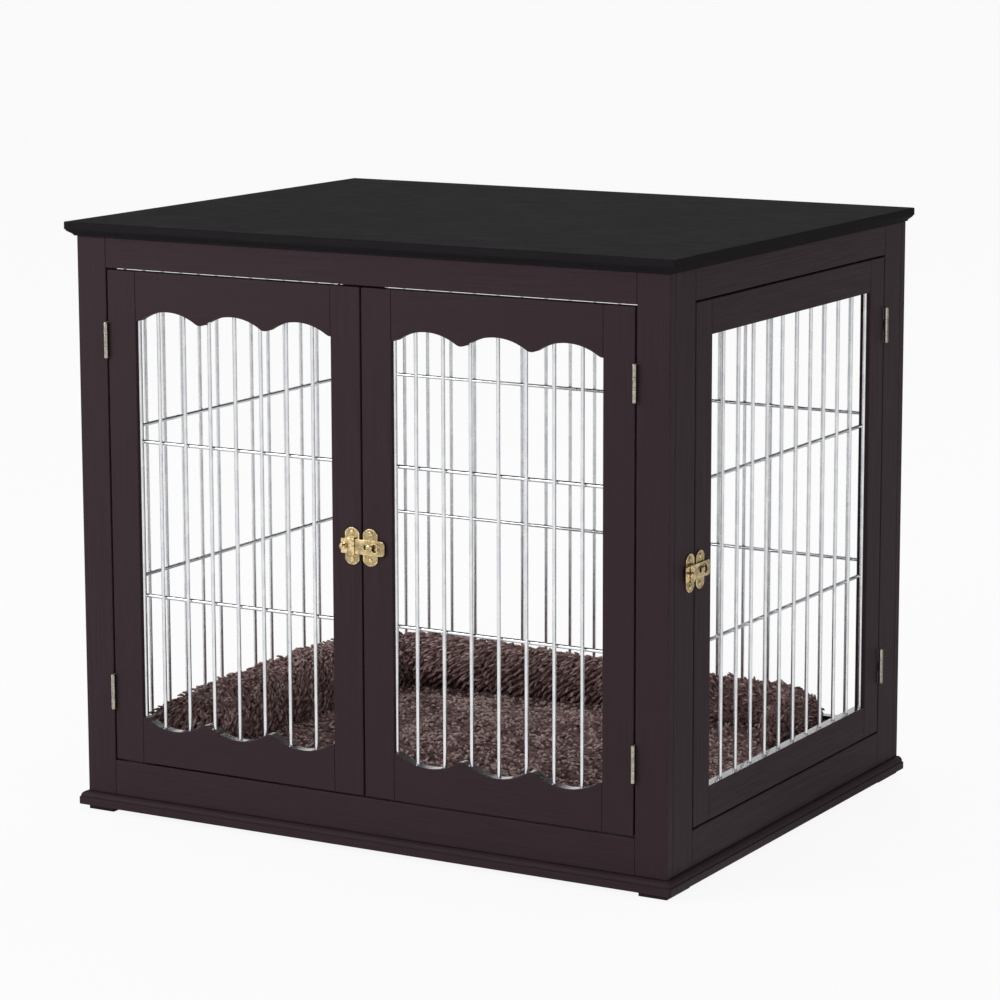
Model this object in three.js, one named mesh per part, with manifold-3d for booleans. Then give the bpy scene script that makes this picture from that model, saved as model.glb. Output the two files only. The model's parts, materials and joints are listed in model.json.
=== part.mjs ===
// A dog crate that doubles as an end table: a cabin of four framed wire panels between a base board and
// a table top, with a pair of scalloped doors in front, a third door in the right side, butt hinges,
// sliding latches, and a plush bed with a bolster. Millimetres, +Z up, the front faces -Y, and the origin
// lies on the floor under the middle of the object.

import * as THREE from 'three';
import { mergeVertices } from 'three/addons/utils/BufferGeometryUtils.js';
import Module from 'manifold-3d';

const wasm = await Module();
wasm.setup();

// ---------------------------------------------------------------------------------------------------
// Driving dimensions, in millimetres
// ---------------------------------------------------------------------------------------------------

// The cabin and its boards
const bodyWidth = 700;             // over the side panels
const bodyDepth = 560;             // over the front and back panels
const bodyHeight = 600;            // from the base board to the table top
const boardThickness = 12;         // every frame and door board
const frameStileWidth = 36;        // of the front and back frames
const sideStileWidth = 42;         // of the left and right frames, which stand between the other two
const frameTopRailWidth = 32;
const frameBottomRailWidth = 38;
const boardChamfer = 0.8;          // along the edges of every board
const glueLine = 0.1;              // left between two boards, and under what is screwed to a board

// Table top, base board and feet
const topThickness = 15;
const topOverhang = 10;            // past the cabin at the front and the sides, flush at the back
const topEdgeRadius = 1.5;
const topBandHeight = 6.5;         // the upright band between the top edge and the ogee
const topQuirk = 1.2;              // the small step in above the ogee
const topOgeeDepth = 6.5;
const baseThickness = 14;
const baseOverhang = 8;
const baseBandHeight = 8;          // the upright band under the bead
const baseQuirk = 1.5;
const baseBeadRadius = 5.5;
const footHeight = 6;
const footWidth = 32;
const footLength = 50;

// Doors
const doorGap = 2;                 // between a door and its frame, and between the two front doors
const doorStileWidth = 35;
const doorRailWidth = 35;          // the side door's straight rails
const scallopedTopRailWidth = 40.5;     // at the top of a scallop, where the rail is narrowest
const scallopedBottomRailWidth = 38.5;
const scallopCount = 3;
const scallopDepth = 11.7;
const cuspRadius = 10;

// Grilles
const wireDiameter = 4;
const wireSides = 8;
const weldDepth = 0.4;             // how far crossing wires are pressed into each other
const wireEndGap = 0.3;            // between a wire's end and a scalloped rail
const frontWirePitch = 31.7;
const sideWirePitch = 34;
const backWirePitch = 32;
const wireEdgeSpace = 20;          // least distance from the first upright wire to the stile
const crossWireSpacing = 165;      // between the lower and the upper cross wire

// Hinges
const hingeLength = 38;
const hingeInset = 74;             // from the end of a door to the middle of its hinge
const pinDiameter = 2.4;
const pinClearance = 0.3;
const knuckleWall = 1;
const knuckleGap = 0.3;
const leafGap = 0.3;               // between the two leaves of a closed hinge
const leafBackMargin = 4;          // wood left behind the leaf
const barrelFaceGap = 0.3;         // between a barrel and the boards' faces
const pinEndInset = 1;             // of the pin inside the outer knuckles
const tabRoot = 1;                 // how deep a tab starts in its leaf

// Latches, measured from the seam between the two boards that the latch joins
const latchHeight = 301;           // above the base board
const plateThickness = 1.2;
const plateHeight = 39;
const plateDome = 5.5;             // how far the rounded ends of a plate rise
const guideWidth = 17.3;
const guideSeamDistance = 2.7;
const keeperWidth = 17.5;
const keeperSeamDistance = 1.5;
const screwHeadDiameter = 5.2;
const screwHeadHeight = 0.9;
const screwHeadRim = 0.3;          // the upright rim under the domed part
const screwHeadFlat = 0.7;         // the flat top, as a share of the head
const screwSpacing = 28;
const barLength = 52;
const barHeight = 15.5;
const barThickness = 1.5;
const barCornerRadius = 4;
const barFarLip = 11;              // from the middle of the slot's wide end to the bar's far end
const slideClearance = 0.3;
const latchTravel = 7;
const strapWidth = 8.4;
const strapThickness = 1.2;
const strapShoulder = 0.6;
const studDiameter = 4;
const studHeadDiameter = 7.6;
const studHeadThickness = 1.6;
const slotClearance = 0.5;
const slotRimWidth = 1.2;
const slotRimHeight = 0.6;
const slotBack = 6.8;              // how far the slot reaches behind the stud at rest
const knobDiameter = 6.8;
const knobHeight = 6.6;
const knobNeckDiameter = 3.8;
const knobFlangeShare = 0.85;      // of the knob's diameter
const knobFlangeHeight = 0.8;
const knobNeckStart = 1.6;
const knobStrapGap = 0.4;
const solidOverlap = 0.2;          // how far joined solids reach into each other

// Bed
const bedSideGap = 4;              // from the bed to the left panel and to the back panel
const bedRightGap = 18;
const bedFrontGap = 18;
const padEdgeHeight = 34;
const padCrown = 8;
const seatMargin = 8;              // of level pad inside the bolster
const padDrawIn = 0.012;           // how much the sides pull in between the corners, as a share
const bolsterWidth = 106;
const bolsterHeight = 56;
const bolsterMiddle = 0.46;        // height of the roll's middle, as a share of its whole height
const bolsterInset = 2;            // from the pad's edge to the bolster
const leftCornerRadius = 72;       // of the bolster's middle line
const rightCornerRadius = 50;
const shortArmWidth = 66;
const shortArmHeight = 51;
const shortArmLength = 150;        // forward from the back edge of the bed
const narrowingStart = 640;        // from the short arm's end to where the roll starts to narrow
const narrowingEnd = 330;
const softGap = 0.3;

// ---------------------------------------------------------------------------------------------------
// Sizes worked out from them
// ---------------------------------------------------------------------------------------------------

const bodyFront = (topOverhang - bodyDepth) / 2;
const bodyBack = bodyFront + bodyDepth;
const bodyMiddle = (bodyFront + bodyBack) / 2;
const bodyBase = footHeight + baseThickness;
const sideFrameLength = bodyDepth - 2 * boardThickness - 2 * glueLine;
const openingBottom = frameBottomRailWidth;
const openingTop = bodyHeight - frameTopRailWidth;
const openingMiddle = (openingBottom + openingTop) / 2;
const doorBottom = openingBottom + doorGap;
const doorTop = openingTop - doorGap;
const frontDoorWidth = (bodyWidth - 2 * frameStileWidth - 3 * doorGap) / 2;
const sideDoorWidth = sideFrameLength - 2 * sideStileWidth - 2 * doorGap;
const wireRadius = wireDiameter / 2;
const uprightWireDepth = -boardThickness / 2;
const crossWireDepth = uprightWireDepth - wireDiameter + weldDepth;
const barrelRadius = pinDiameter / 2 + pinClearance + knuckleWall;
const barrelStandOff = barrelRadius + barrelFaceGap;
const leafThickness = (doorGap - leafGap) / 2 - glueLine;

// ---------------------------------------------------------------------------------------------------
// Materials
// ---------------------------------------------------------------------------------------------------

const paint = new THREE.MeshStandardMaterial({ color: 0x3b3033, roughness: 0.5, metalness: 0 });
const zinc = new THREE.MeshStandardMaterial({ color: 0xb4b4b0, roughness: 0.35, metalness: 1 });
const nickel = new THREE.MeshStandardMaterial({ color: 0xb9b2a2, roughness: 0.3, metalness: 1 });
const brass = new THREE.MeshStandardMaterial({ color: 0xc7b286, roughness: 0.35, metalness: 1 });
const plush = new THREE.MeshStandardMaterial({ color: 0x4a3a33, roughness: 1, metalness: 0 });

// ---------------------------------------------------------------------------------------------------
// Helpers
// ---------------------------------------------------------------------------------------------------

const part = new THREE.Group();

function addMesh(parent, name, geometry, material) {
  const mesh = new THREE.Mesh(geometry, material);
  mesh.name = name;
  parent.add(mesh);
  return mesh;
}

// A closed geometry as a solid that can be joined and cut
function solidOf(geometry) {
  const bare = geometry.clone();
  bare.deleteAttribute('normal');
  bare.deleteAttribute('uv');
  const merged = mergeVertices(bare, 1e-4);
  const mesh = new wasm.Mesh({
    numProp: 3,
    vertProperties: new Float32Array(merged.attributes.position.array),
    triVerts: new Uint32Array(merged.index.array),
  });
  return new wasm.Manifold(mesh);
}

function geometryOf(solid) {
  const mesh = solid.getMesh();
  const geometry = new THREE.BufferGeometry();
  geometry.setAttribute('position', new THREE.BufferAttribute(new Float32Array(mesh.vertProperties), 3));
  geometry.setIndex(new THREE.BufferAttribute(new Uint32Array(mesh.triVerts), 1));
  geometry.computeVertexNormals();
  return geometry;
}

function joined(geometries) {
  const solids = geometries.map(solidOf);
  return geometryOf(solids.reduce((whole, next) => whole.add(next)));
}

// An outline drawn in X and Y and extruded from one Z to another
function extruded(shape, low, high, curveSegments = 8) {
  const geometry = new THREE.ExtrudeGeometry(shape, {
    depth: high - low,
    bevelEnabled: false,
    curveSegments,
  });
  return geometry.translate(0, 0, low);
}

function block(lowX, highX, lowY, highY, lowZ, highZ) {
  const geometry = new THREE.BoxGeometry(highX - lowX, highY - lowY, highZ - lowZ);
  return geometry.translate((lowX + highX) / 2, (lowY + highY) / 2, (lowZ + highZ) / 2);
}

function chamferedRectangle(width, height) {
  const x = width / 2;
  const y = height / 2;
  const c = boardChamfer;
  const corners = [
    [x - c, -y], [x, -y + c], [x, y - c], [x - c, y],
    [-x + c, y], [-x, y - c], [-x, -y + c], [-x + c, -y],
  ];
  return new THREE.Shape(corners.map(([u, v]) => new THREE.Vector2(u, v)));
}

// A straight board in a panel's plane: its face at Z = 0, its thickness behind, chamfered along its length
function board(lowX, highX, lowY, highY) {
  const width = highX - lowX;
  const height = highY - lowY;
  const upright = height > width;
  const section = chamferedRectangle(upright ? width : height, boardThickness);
  const length = upright ? height : width;
  const geometry = extruded(section, -length / 2, length / 2);
  geometry.rotateX(-Math.PI / 2);
  if (!upright) {
    geometry.rotateZ(-Math.PI / 2);
  }
  return geometry.translate((lowX + highX) / 2, (lowY + highY) / 2, -boardThickness / 2);
}

// ---------------------------------------------------------------------------------------------------
// Table top, base board and feet
// ---------------------------------------------------------------------------------------------------

// A board whose moulded edge runs along the front and both sides. The profile is a list of points, each
// an inset from the outermost edge and a height, from the bottom up.
function mouldedBoard(profile, overhang) {
  const positions = [];
  const indices = [];
  for (const [inset, height] of profile) {
    const side = bodyWidth / 2 + overhang - inset;
    const front = bodyFront - overhang + inset;
    positions.push(-side, front, height, side, front, height);
    positions.push(side, bodyBack, height, -side, bodyBack, height);
  }
  for (let ring = 0; ring < profile.length - 1; ring += 1) {
    for (let corner = 0; corner < 4; corner += 1) {
      const a = ring * 4 + corner;
      const b = ring * 4 + (corner + 1) % 4;
      indices.push(a, b, b + 4, a, b + 4, a + 4);
    }
  }
  const top = (profile.length - 1) * 4;
  indices.push(0, 2, 1, 0, 3, 2);
  indices.push(top, top + 1, top + 2, top, top + 2, top + 3);
  const geometry = new THREE.BufferGeometry();
  geometry.setAttribute('position', new THREE.Float32BufferAttribute(positions, 3));
  geometry.setIndex(indices);
  geometry.computeVertexNormals();
  return geometry;
}

// Upwards: an ogee that leaves the cabin upright, a quirk, an upright band and a rounded top edge
function topProfile() {
  const points = [];
  const ogeeHeight = topThickness - topEdgeRadius - topBandHeight;
  const steps = 8;
  for (let step = 0; step <= steps; step += 1) {
    const share = step / steps;
    const inset = topQuirk + topOgeeDepth * (1 + Math.cos(Math.PI * share)) / 2;
    points.push([inset, ogeeHeight * share]);
  }
  points.push([0, ogeeHeight]);
  for (let step = 0; step <= 3; step += 1) {
    const angle = (step / 3) * Math.PI / 2;
    const inset = topEdgeRadius * (1 - Math.cos(angle));
    points.push([inset, topThickness - topEdgeRadius * (1 - Math.sin(angle))]);
  }
  return points;
}

// Upwards: an upright band, a quirk and a quarter-round bead
function baseProfile() {
  const points = [[0, 0], [0, baseBandHeight], [baseQuirk, baseBandHeight]];
  const steps = 5;
  for (let step = 0; step <= steps; step += 1) {
    const angle = (step / steps) * Math.PI / 2;
    const inset = baseQuirk + baseBeadRadius * (1 - Math.cos(angle));
    points.push([inset, baseThickness - baseBeadRadius * (1 - Math.sin(angle))]);
  }
  return points;
}

function addTopAndBase() {
  const top = addMesh(part, 'top_board', mouldedBoard(topProfile(), topOverhang), paint);
  top.position.z = bodyBase + bodyHeight;
  const base = addMesh(part, 'base_board', mouldedBoard(baseProfile(), baseOverhang), paint);
  base.position.z = footHeight;
  const across = (bodyWidth - footWidth) / 2;
  const feet = [
    ['foot_front_left', -across, bodyFront + footLength / 2],
    ['foot_front_right', across, bodyFront + footLength / 2],
    ['foot_rear_left', -across, bodyBack - footLength / 2],
    ['foot_rear_right', across, bodyBack - footLength / 2],
  ];
  for (const [name, x, y] of feet) {
    const section = chamferedRectangle(footWidth, footLength);
    const foot = addMesh(part, name, extruded(section, 0, footHeight - glueLine), paint);
    foot.position.set(x, y, 0);
  }
}

// ---------------------------------------------------------------------------------------------------
// Panels: each is drawn as seen from outside, X to the right, Y up from the base board, face at Z = 0
// ---------------------------------------------------------------------------------------------------

function addPanel(x, y, right) {
  const up = new THREE.Vector3(0, 0, 1);
  const outward = new THREE.Vector3().crossVectors(right, up);
  const panel = new THREE.Group();
  panel.position.set(x, y, bodyBase);
  panel.setRotationFromMatrix(new THREE.Matrix4().makeBasis(right, up, outward));
  part.add(panel);
  return panel;
}

function addFrame(panel, name, sides, length, stileWidth) {
  const outer = length / 2;
  const inner = outer - stileWidth;
  const low = glueLine;
  const high = bodyHeight - glueLine;
  addMesh(panel, `${name}_${sides[0]}_stile`, board(-outer, -inner, low, high), paint);
  addMesh(panel, `${name}_${sides[1]}_stile`, board(inner, outer, low, high), paint);
  const railEnd = inner - glueLine;
  addMesh(panel, `${name}_top_rail`, board(-railEnd, railEnd, openingTop, high), paint);
  addMesh(panel, `${name}_bottom_rail`, board(-railEnd, railEnd, low, openingBottom), paint);
}

// ---------------------------------------------------------------------------------------------------
// Grilles
// ---------------------------------------------------------------------------------------------------

// Wires are prisms with a flat towards the front, and a flat towards the back where the cross wires weld
function wire(length) {
  const geometry = new THREE.CylinderGeometry(wireRadius, wireRadius, length, wireSides);
  return geometry.rotateY(Math.PI / wireSides);
}

function uprightWire(x, low, high) {
  return wire(high - low).translate(x, (low + high) / 2, uprightWireDepth);
}

function crossWire(y, low, high) {
  return wire(high - low).rotateZ(Math.PI / 2).translate((low + high) / 2, y, crossWireDepth);
}

// Upright wires at an even pitch about the middle of the opening, one more against each stile, and two
// cross wires behind them. The two functions give the lower and the upper end of a wire at a given X.
function grille(left, right, pitch, lowEnd, highEnd) {
  const middle = (left + right) / 2;
  const half = (right - left) / 2 - glueLine;
  const count = Math.floor((right - left - 2 * wireEdgeSpace) / pitch) + 1;
  const wires = [];
  for (let index = 0; index < count; index += 1) {
    const x = middle + (index - (count - 1) / 2) * pitch;
    wires.push(uprightWire(x, lowEnd(x - middle), highEnd(x - middle)));
  }
  for (const side of [-1, 1]) {
    const edge = side * (half - wireRadius);
    wires.push(uprightWire(middle + edge, lowEnd(edge), highEnd(edge)));
    const y = openingMiddle + side * crossWireSpacing / 2;
    wires.push(crossWire(y, middle - half, middle + half));
  }
  return joined(wires);
}

// ---------------------------------------------------------------------------------------------------
// Scalloped rails
// ---------------------------------------------------------------------------------------------------

// Arcs of one radius meet in rounded cusps, with half a cusp against each stile. The arcs of radius R and
// the cusps of radius r touch when the distance of their centres, across half a pitch and up by R + r less
// the depth, is R + r.
function scallops(width) {
  const pitch = width / scallopCount;
  const reach = (pitch * pitch / 4 + scallopDepth * scallopDepth) / (2 * scallopDepth);
  const radius = reach - cuspRadius;
  const touch = (pitch / 2) * radius / reach;
  return { pitch, radius, touch };
}

// How far the scalloped edge hangs below the top of its arcs, at a distance from the rail's middle
function scallopDrop(width, distance) {
  const { pitch, radius, touch } = scallops(width);
  const nearest = Math.round(distance / pitch + (scallopCount - 1) / 2);
  const index = Math.min(scallopCount - 1, Math.max(0, nearest));
  const fromArc = Math.abs(distance - (index - (scallopCount - 1) / 2) * pitch);
  if (fromArc <= touch) {
    return radius - Math.sqrt(radius * radius - fromArc * fromArc);
  }
  const fromCusp = pitch / 2 - fromArc;
  return scallopDepth - cuspRadius + Math.sqrt(cuspRadius * cuspRadius - fromCusp * fromCusp);
}

// The largest drop over the width of a wire, so that the whole end of the wire clears the edge
function dropOverWire(width, distance) {
  const places = [-wireRadius, 0, wireRadius];
  return Math.max(...places.map((offset) => scallopDrop(width, distance + offset)));
}

// A rail of the given least width, its scallops below, its straight edge at Y = 0 and its middle at X = 0
function scallopedRail(width, railWidth) {
  const { pitch, radius, touch } = scallops(width);
  const lean = Math.asin(touch / radius);
  const half = width / 2;
  const edge = -railWidth;
  const tip = edge - scallopDepth + cuspRadius;
  const down = -Math.PI / 2;
  const shape = new THREE.Shape();
  shape.moveTo(-half, edge - scallopDepth);
  shape.absarc(-half, tip, cuspRadius, down, down + lean, false);
  for (let index = 0; index < scallopCount; index += 1) {
    const centre = -half + (index + 0.5) * pitch;
    const last = index === scallopCount - 1;
    shape.absarc(centre, edge - radius, radius, Math.PI / 2 + lean, Math.PI / 2 - lean, true);
    shape.absarc(centre + pitch / 2, tip, cuspRadius, down - lean, last ? down : down + lean, false);
  }
  shape.lineTo(half, 0);
  shape.lineTo(-half, 0);
  return extruded(shape, -boardThickness, 0, 10);
}

// ---------------------------------------------------------------------------------------------------
// Doors
// ---------------------------------------------------------------------------------------------------

function addDoor(panel, name, left, right, stileNames, scalloped) {
  const innerLeft = left + doorStileWidth;
  const innerRight = right - doorStileWidth;
  const middle = (left + right) / 2;
  const railLeft = innerLeft + glueLine;
  const railRight = innerRight - glueLine;
  addMesh(panel, `${name}_${stileNames[0]}_stile`, board(left, innerLeft, doorBottom, doorTop), paint);
  addMesh(panel, `${name}_${stileNames[1]}_stile`, board(innerRight, right, doorBottom, doorTop), paint);
  if (scalloped) {
    const opening = railRight - railLeft;
    const topRail = scallopedRail(opening, scallopedTopRailWidth).translate(middle, doorTop, 0);
    const bottomRail = scallopedRail(opening, scallopedBottomRailWidth);
    bottomRail.rotateX(Math.PI).translate(middle, doorBottom, -boardThickness);
    addMesh(panel, `${name}_top_rail`, topRail, paint);
    addMesh(panel, `${name}_bottom_rail`, bottomRail, paint);
    const low = (x) => doorBottom + scallopedBottomRailWidth + dropOverWire(opening, x) + wireEndGap;
    const high = (x) => doorTop - scallopedTopRailWidth - dropOverWire(opening, x) - wireEndGap;
    addMesh(panel, `${name}_grille`, grille(innerLeft, innerRight, frontWirePitch, low, high), zinc);
  } else {
    const low = doorBottom + doorRailWidth;
    const high = doorTop - doorRailWidth;
    addMesh(panel, `${name}_top_rail`, board(railLeft, railRight, high, doorTop), paint);
    addMesh(panel, `${name}_bottom_rail`, board(railLeft, railRight, doorBottom, low), paint);
    const wires = grille(innerLeft, innerRight, sideWirePitch, () => low + glueLine, () => high - glueLine);
    addMesh(panel, `${name}_grille`, wires, zinc);
  }
}

function addFixedGrille(panel, name, length, stileWidth, pitch) {
  const half = length / 2 - stileWidth;
  const low = openingBottom + glueLine;
  const high = openingTop - glueLine;
  addMesh(panel, name, grille(-half, half, pitch, () => low, () => high), zinc);
}

// ---------------------------------------------------------------------------------------------------
// Hinges: X towards the door, Y along the pin, Z outward, X = 0 in the middle of the gap
// ---------------------------------------------------------------------------------------------------

function barrelPiece(radius, low, high, sides) {
  const geometry = new THREE.CylinderGeometry(radius, radius, high - low, sides);
  return geometry.translate(0, (low + high) / 2, barrelStandOff);
}

// One leaf's plate in the gap, and the tabs that join it to its knuckles
function leafPlate(side, tabs) {
  const near = side * leafGap / 2;
  const far = side * (leafGap / 2 + leafThickness);
  const lowX = Math.min(near, far);
  const highX = Math.max(near, far);
  const back = -boardThickness + leafBackMargin;
  const tabTop = barrelStandOff - pinDiameter / 2 - pinClearance - knuckleWall / 3;
  const plate = block(lowX, highX, -hingeLength / 2, hingeLength / 2, back, 0);
  return [plate, ...tabs.map(([low, high]) => block(lowX, highX, low, high, -tabRoot, tabTop))];
}

function addHinge(panel, name, x, y, towardsLeft) {
  const hinge = new THREE.Group();
  hinge.position.set(x, y, 0);
  hinge.rotation.z = towardsLeft ? Math.PI : 0;
  panel.add(hinge);
  const end = hingeLength / 2;
  const split = hingeLength / 6;
  const outerKnuckles = [[-end, -split - knuckleGap / 2], [split + knuckleGap / 2, end]];
  const middleKnuckle = [-split + knuckleGap / 2, split - knuckleGap / 2];
  const frameLeaf = leafPlate(-1, outerKnuckles);
  for (const [low, high] of outerKnuckles) {
    frameLeaf.push(barrelPiece(barrelRadius, low, high, 16));
  }
  frameLeaf.push(barrelPiece(pinDiameter / 2, -end + pinEndInset, end - pinEndInset, 10));
  addMesh(hinge, `${name}_frame_leaf`, joined(frameLeaf), nickel);
  const knuckle = barrelPiece(barrelRadius, ...middleKnuckle, 16);
  const doorLeaf = solidOf(joined([...leafPlate(1, [middleKnuckle]), knuckle]));
  const bore = solidOf(barrelPiece(pinDiameter / 2 + pinClearance, -end, end, 12));
  addMesh(hinge, `${name}_door_leaf`, geometryOf(doorLeaf.subtract(bore)), nickel);
}

function addHingePair(panel, name, x, towardsLeft) {
  addHinge(panel, `${name}_upper_hinge`, x, doorTop - hingeInset, towardsLeft);
  addHinge(panel, `${name}_lower_hinge`, x, doorBottom + hingeInset, towardsLeft);
}

// ---------------------------------------------------------------------------------------------------
// Latches: X = 0 on the seam, the guide plate to the left of it and the keeper plate to the right
// ---------------------------------------------------------------------------------------------------

const plateTop = glueLine + plateThickness;
const barBack = plateTop + slideClearance;
const barFront = barBack + barThickness;
const guideCentre = -guideSeamDistance - guideWidth / 2;
const studCentre = keeperSeamDistance + keeperWidth / 2;

// A plate with an arc for each end
function latchPlate(centre, width) {
  const half = width / 2;
  const shoulder = plateHeight / 2 - plateDome;
  const radius = (half * half + plateDome * plateDome) / (2 * plateDome);
  const lean = Math.asin(Math.min(1, half / radius));
  const shape = new THREE.Shape();
  shape.moveTo(centre + half, -shoulder);
  shape.lineTo(centre + half, shoulder);
  const up = shoulder + plateDome - radius;
  shape.absarc(centre, up, radius, Math.PI / 2 - lean, Math.PI / 2 + lean, false);
  shape.lineTo(centre - half, -shoulder);
  shape.absarc(centre, -up, radius, -Math.PI / 2 - lean, -Math.PI / 2 + lean, false);
  return extruded(shape, glueLine, plateTop, 8);
}

function screwHead(x, y) {
  const rim = screwHeadDiameter / 2;
  const profile = [
    [0, -solidOverlap], [rim, -solidOverlap], [rim, screwHeadRim],
    [rim * screwHeadFlat, screwHeadHeight], [0, screwHeadHeight],
  ];
  const head = new THREE.LatheGeometry(profile.map(([r, h]) => new THREE.Vector2(r, h)), 12);
  return head.rotateX(Math.PI / 2).translate(x, y, plateTop);
}

function plateWithScrews(centre, width) {
  const screws = [-1, 1].map((side) => screwHead(centre, side * screwSpacing / 2));
  return [latchPlate(centre, width), ...screws];
}

// The strap that bridges the bar, seen along the bar and extruded along it
function strap() {
  const inside = barHeight / 2 + slideClearance;
  const outside = inside + strapThickness;
  const ceiling = barFront + slideClearance;
  const top = ceiling + strapThickness;
  const foot = plateTop - plateThickness / 2;
  const outline = [
    [-outside, foot], [-inside, foot], [-inside, ceiling], [inside, ceiling],
    [inside, foot], [outside, foot], [outside, top - strapShoulder], [outside - strapShoulder, top],
    [-outside + strapShoulder, top], [-outside, top - strapShoulder],
  ];
  const shape = new THREE.Shape(outline.map(([y, z]) => new THREE.Vector2(y, z)));
  const geometry = extruded(shape, guideCentre - strapWidth / 2, guideCentre + strapWidth / 2);
  // The drawing's X and Y become Y and Z, and its depth becomes X
  return geometry.rotateY(Math.PI / 2).rotateX(Math.PI / 2);
}

// The outline of the keyhole slot, grown by a margin: narrow behind the stud, wide at the far end
function keyhole(margin) {
  const narrow = studDiameter / 2 + slotClearance + margin;
  const wide = studHeadDiameter / 2 + slotClearance + margin;
  const back = studCentre - slotBack + studDiameter / 2 + slotClearance;
  const far = studCentre + latchTravel;
  const lean = Math.asin(narrow / wide);
  const path = new THREE.Path();
  path.moveTo(back, narrow);
  path.absarc(back, 0, narrow, Math.PI / 2, Math.PI * 3 / 2, false);
  path.absarc(far, 0, wide, Math.PI + lean, Math.PI * 3 - lean, false);
  path.closePath();
  return path;
}

function barOutline() {
  const left = studCentre + latchTravel + barFarLip - barLength;
  const right = left + barLength;
  const half = barHeight / 2;
  const corner = barCornerRadius;
  const shape = new THREE.Shape();
  shape.moveTo(left, -half);
  shape.lineTo(right - corner, -half);
  shape.absarc(right - corner, -half + corner, corner, -Math.PI / 2, 0, false);
  shape.absarc(right - corner, half - corner, corner, 0, Math.PI / 2, false);
  shape.lineTo(left, half);
  return shape;
}

// A turned finger knob that stands on the bar beside the strap
function knob() {
  const neck = knobNeckDiameter / 2;
  const head = knobDiameter / 2;
  const flange = head * knobFlangeShare;
  const profile = [
    [0, -barThickness / 2], [flange, -barThickness / 2], [flange, knobFlangeHeight], [neck, knobNeckStart],
    [neck, knobHeight * 0.55], [head, knobHeight * 0.68], [head, knobHeight * 0.9],
    [head * 0.75, knobHeight], [0, knobHeight],
  ];
  const turned = new THREE.LatheGeometry(profile.map(([r, h]) => new THREE.Vector2(r, h)), 14);
  const x = guideCentre - strapWidth / 2 - head - knobStrapGap;
  return turned.rotateX(Math.PI / 2).translate(x, 0, barFront);
}

function latchBar() {
  const rim = new THREE.Shape(keyhole(slotRimWidth).getPoints(6));
  const body = solidOf(extruded(barOutline(), barBack, barFront, 4));
  const raised = solidOf(extruded(rim, barFront - solidOverlap, barFront + slotRimHeight));
  const slot = new THREE.Shape(keyhole(0).getPoints(6));
  const cut = solidOf(extruded(slot, barBack - 1, barFront + slotRimHeight + 1));
  return geometryOf(body.add(raised).add(solidOf(knob())).subtract(cut));
}

function stud() {
  const neck = studDiameter / 2;
  const head = studHeadDiameter / 2;
  const under = barFront + slotRimHeight + slideClearance - plateTop;
  const profile = [
    [0, -plateThickness / 2], [neck, -plateThickness / 2], [neck, under], [head, under],
    [head, under + studHeadThickness * 0.4], [head * 0.6, under + studHeadThickness],
    [0, under + studHeadThickness],
  ];
  const turned = new THREE.LatheGeometry(profile.map(([r, h]) => new THREE.Vector2(r, h)), 14);
  return turned.rotateX(Math.PI / 2).translate(studCentre, 0, plateTop);
}

function addLatch(panel, name, seam) {
  const latch = new THREE.Group();
  latch.position.set(seam, latchHeight, 0);
  panel.add(latch);
  const guide = joined([...plateWithScrews(guideCentre, guideWidth), strap()]);
  const keeper = joined([...plateWithScrews(studCentre, keeperWidth), stud()]);
  addMesh(latch, `${name}_guide`, guide, brass);
  addMesh(latch, `${name}_keeper`, keeper, brass);
  addMesh(latch, `${name}_bar`, latchBar(), brass);
}

// ---------------------------------------------------------------------------------------------------
// Bed
// ---------------------------------------------------------------------------------------------------

const bedLeft = -bodyWidth / 2 + boardThickness + bedSideGap;
const bedRight = bodyWidth / 2 - boardThickness - bedRightGap;
const bedFront = bodyFront + boardThickness + bedFrontGap;
const bedBack = bodyBack - boardThickness - bedSideGap;
const bedFloor = bodyBase + glueLine;

// Rings of points joined into a closed skin, with a fan at each end
function skinOverRings(rings) {
  const count = rings[0].length;
  const positions = [];
  for (const ring of rings) {
    for (const point of ring) {
      positions.push(...point);
    }
  }
  const indices = [];
  for (let ring = 0; ring < rings.length - 1; ring += 1) {
    for (let index = 0; index < count; index += 1) {
      const a = ring * count + index;
      const b = ring * count + (index + 1) % count;
      indices.push(a, b, b + count, a, b + count, a + count);
    }
  }
  const addFan = (ring, flip) => {
    const centre = [0, 1, 2].map((axis) => ring.reduce((sum, point) => sum + point[axis], 0) / count);
    const first = flip ? (rings.length - 1) * count : 0;
    const middle = positions.length / 3;
    positions.push(...centre);
    for (let index = 0; index < count; index += 1) {
      const a = first + index;
      const b = first + (index + 1) % count;
      indices.push(...(flip ? [a, b, middle] : [b, a, middle]));
    }
  };
  addFan(rings[0], false);
  addFan(rings[rings.length - 1], true);
  const geometry = new THREE.BufferGeometry();
  geometry.setAttribute('position', new THREE.Float32BufferAttribute(positions, 3));
  geometry.setIndex(indices);
  geometry.computeVertexNormals();
  return geometry;
}

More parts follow.
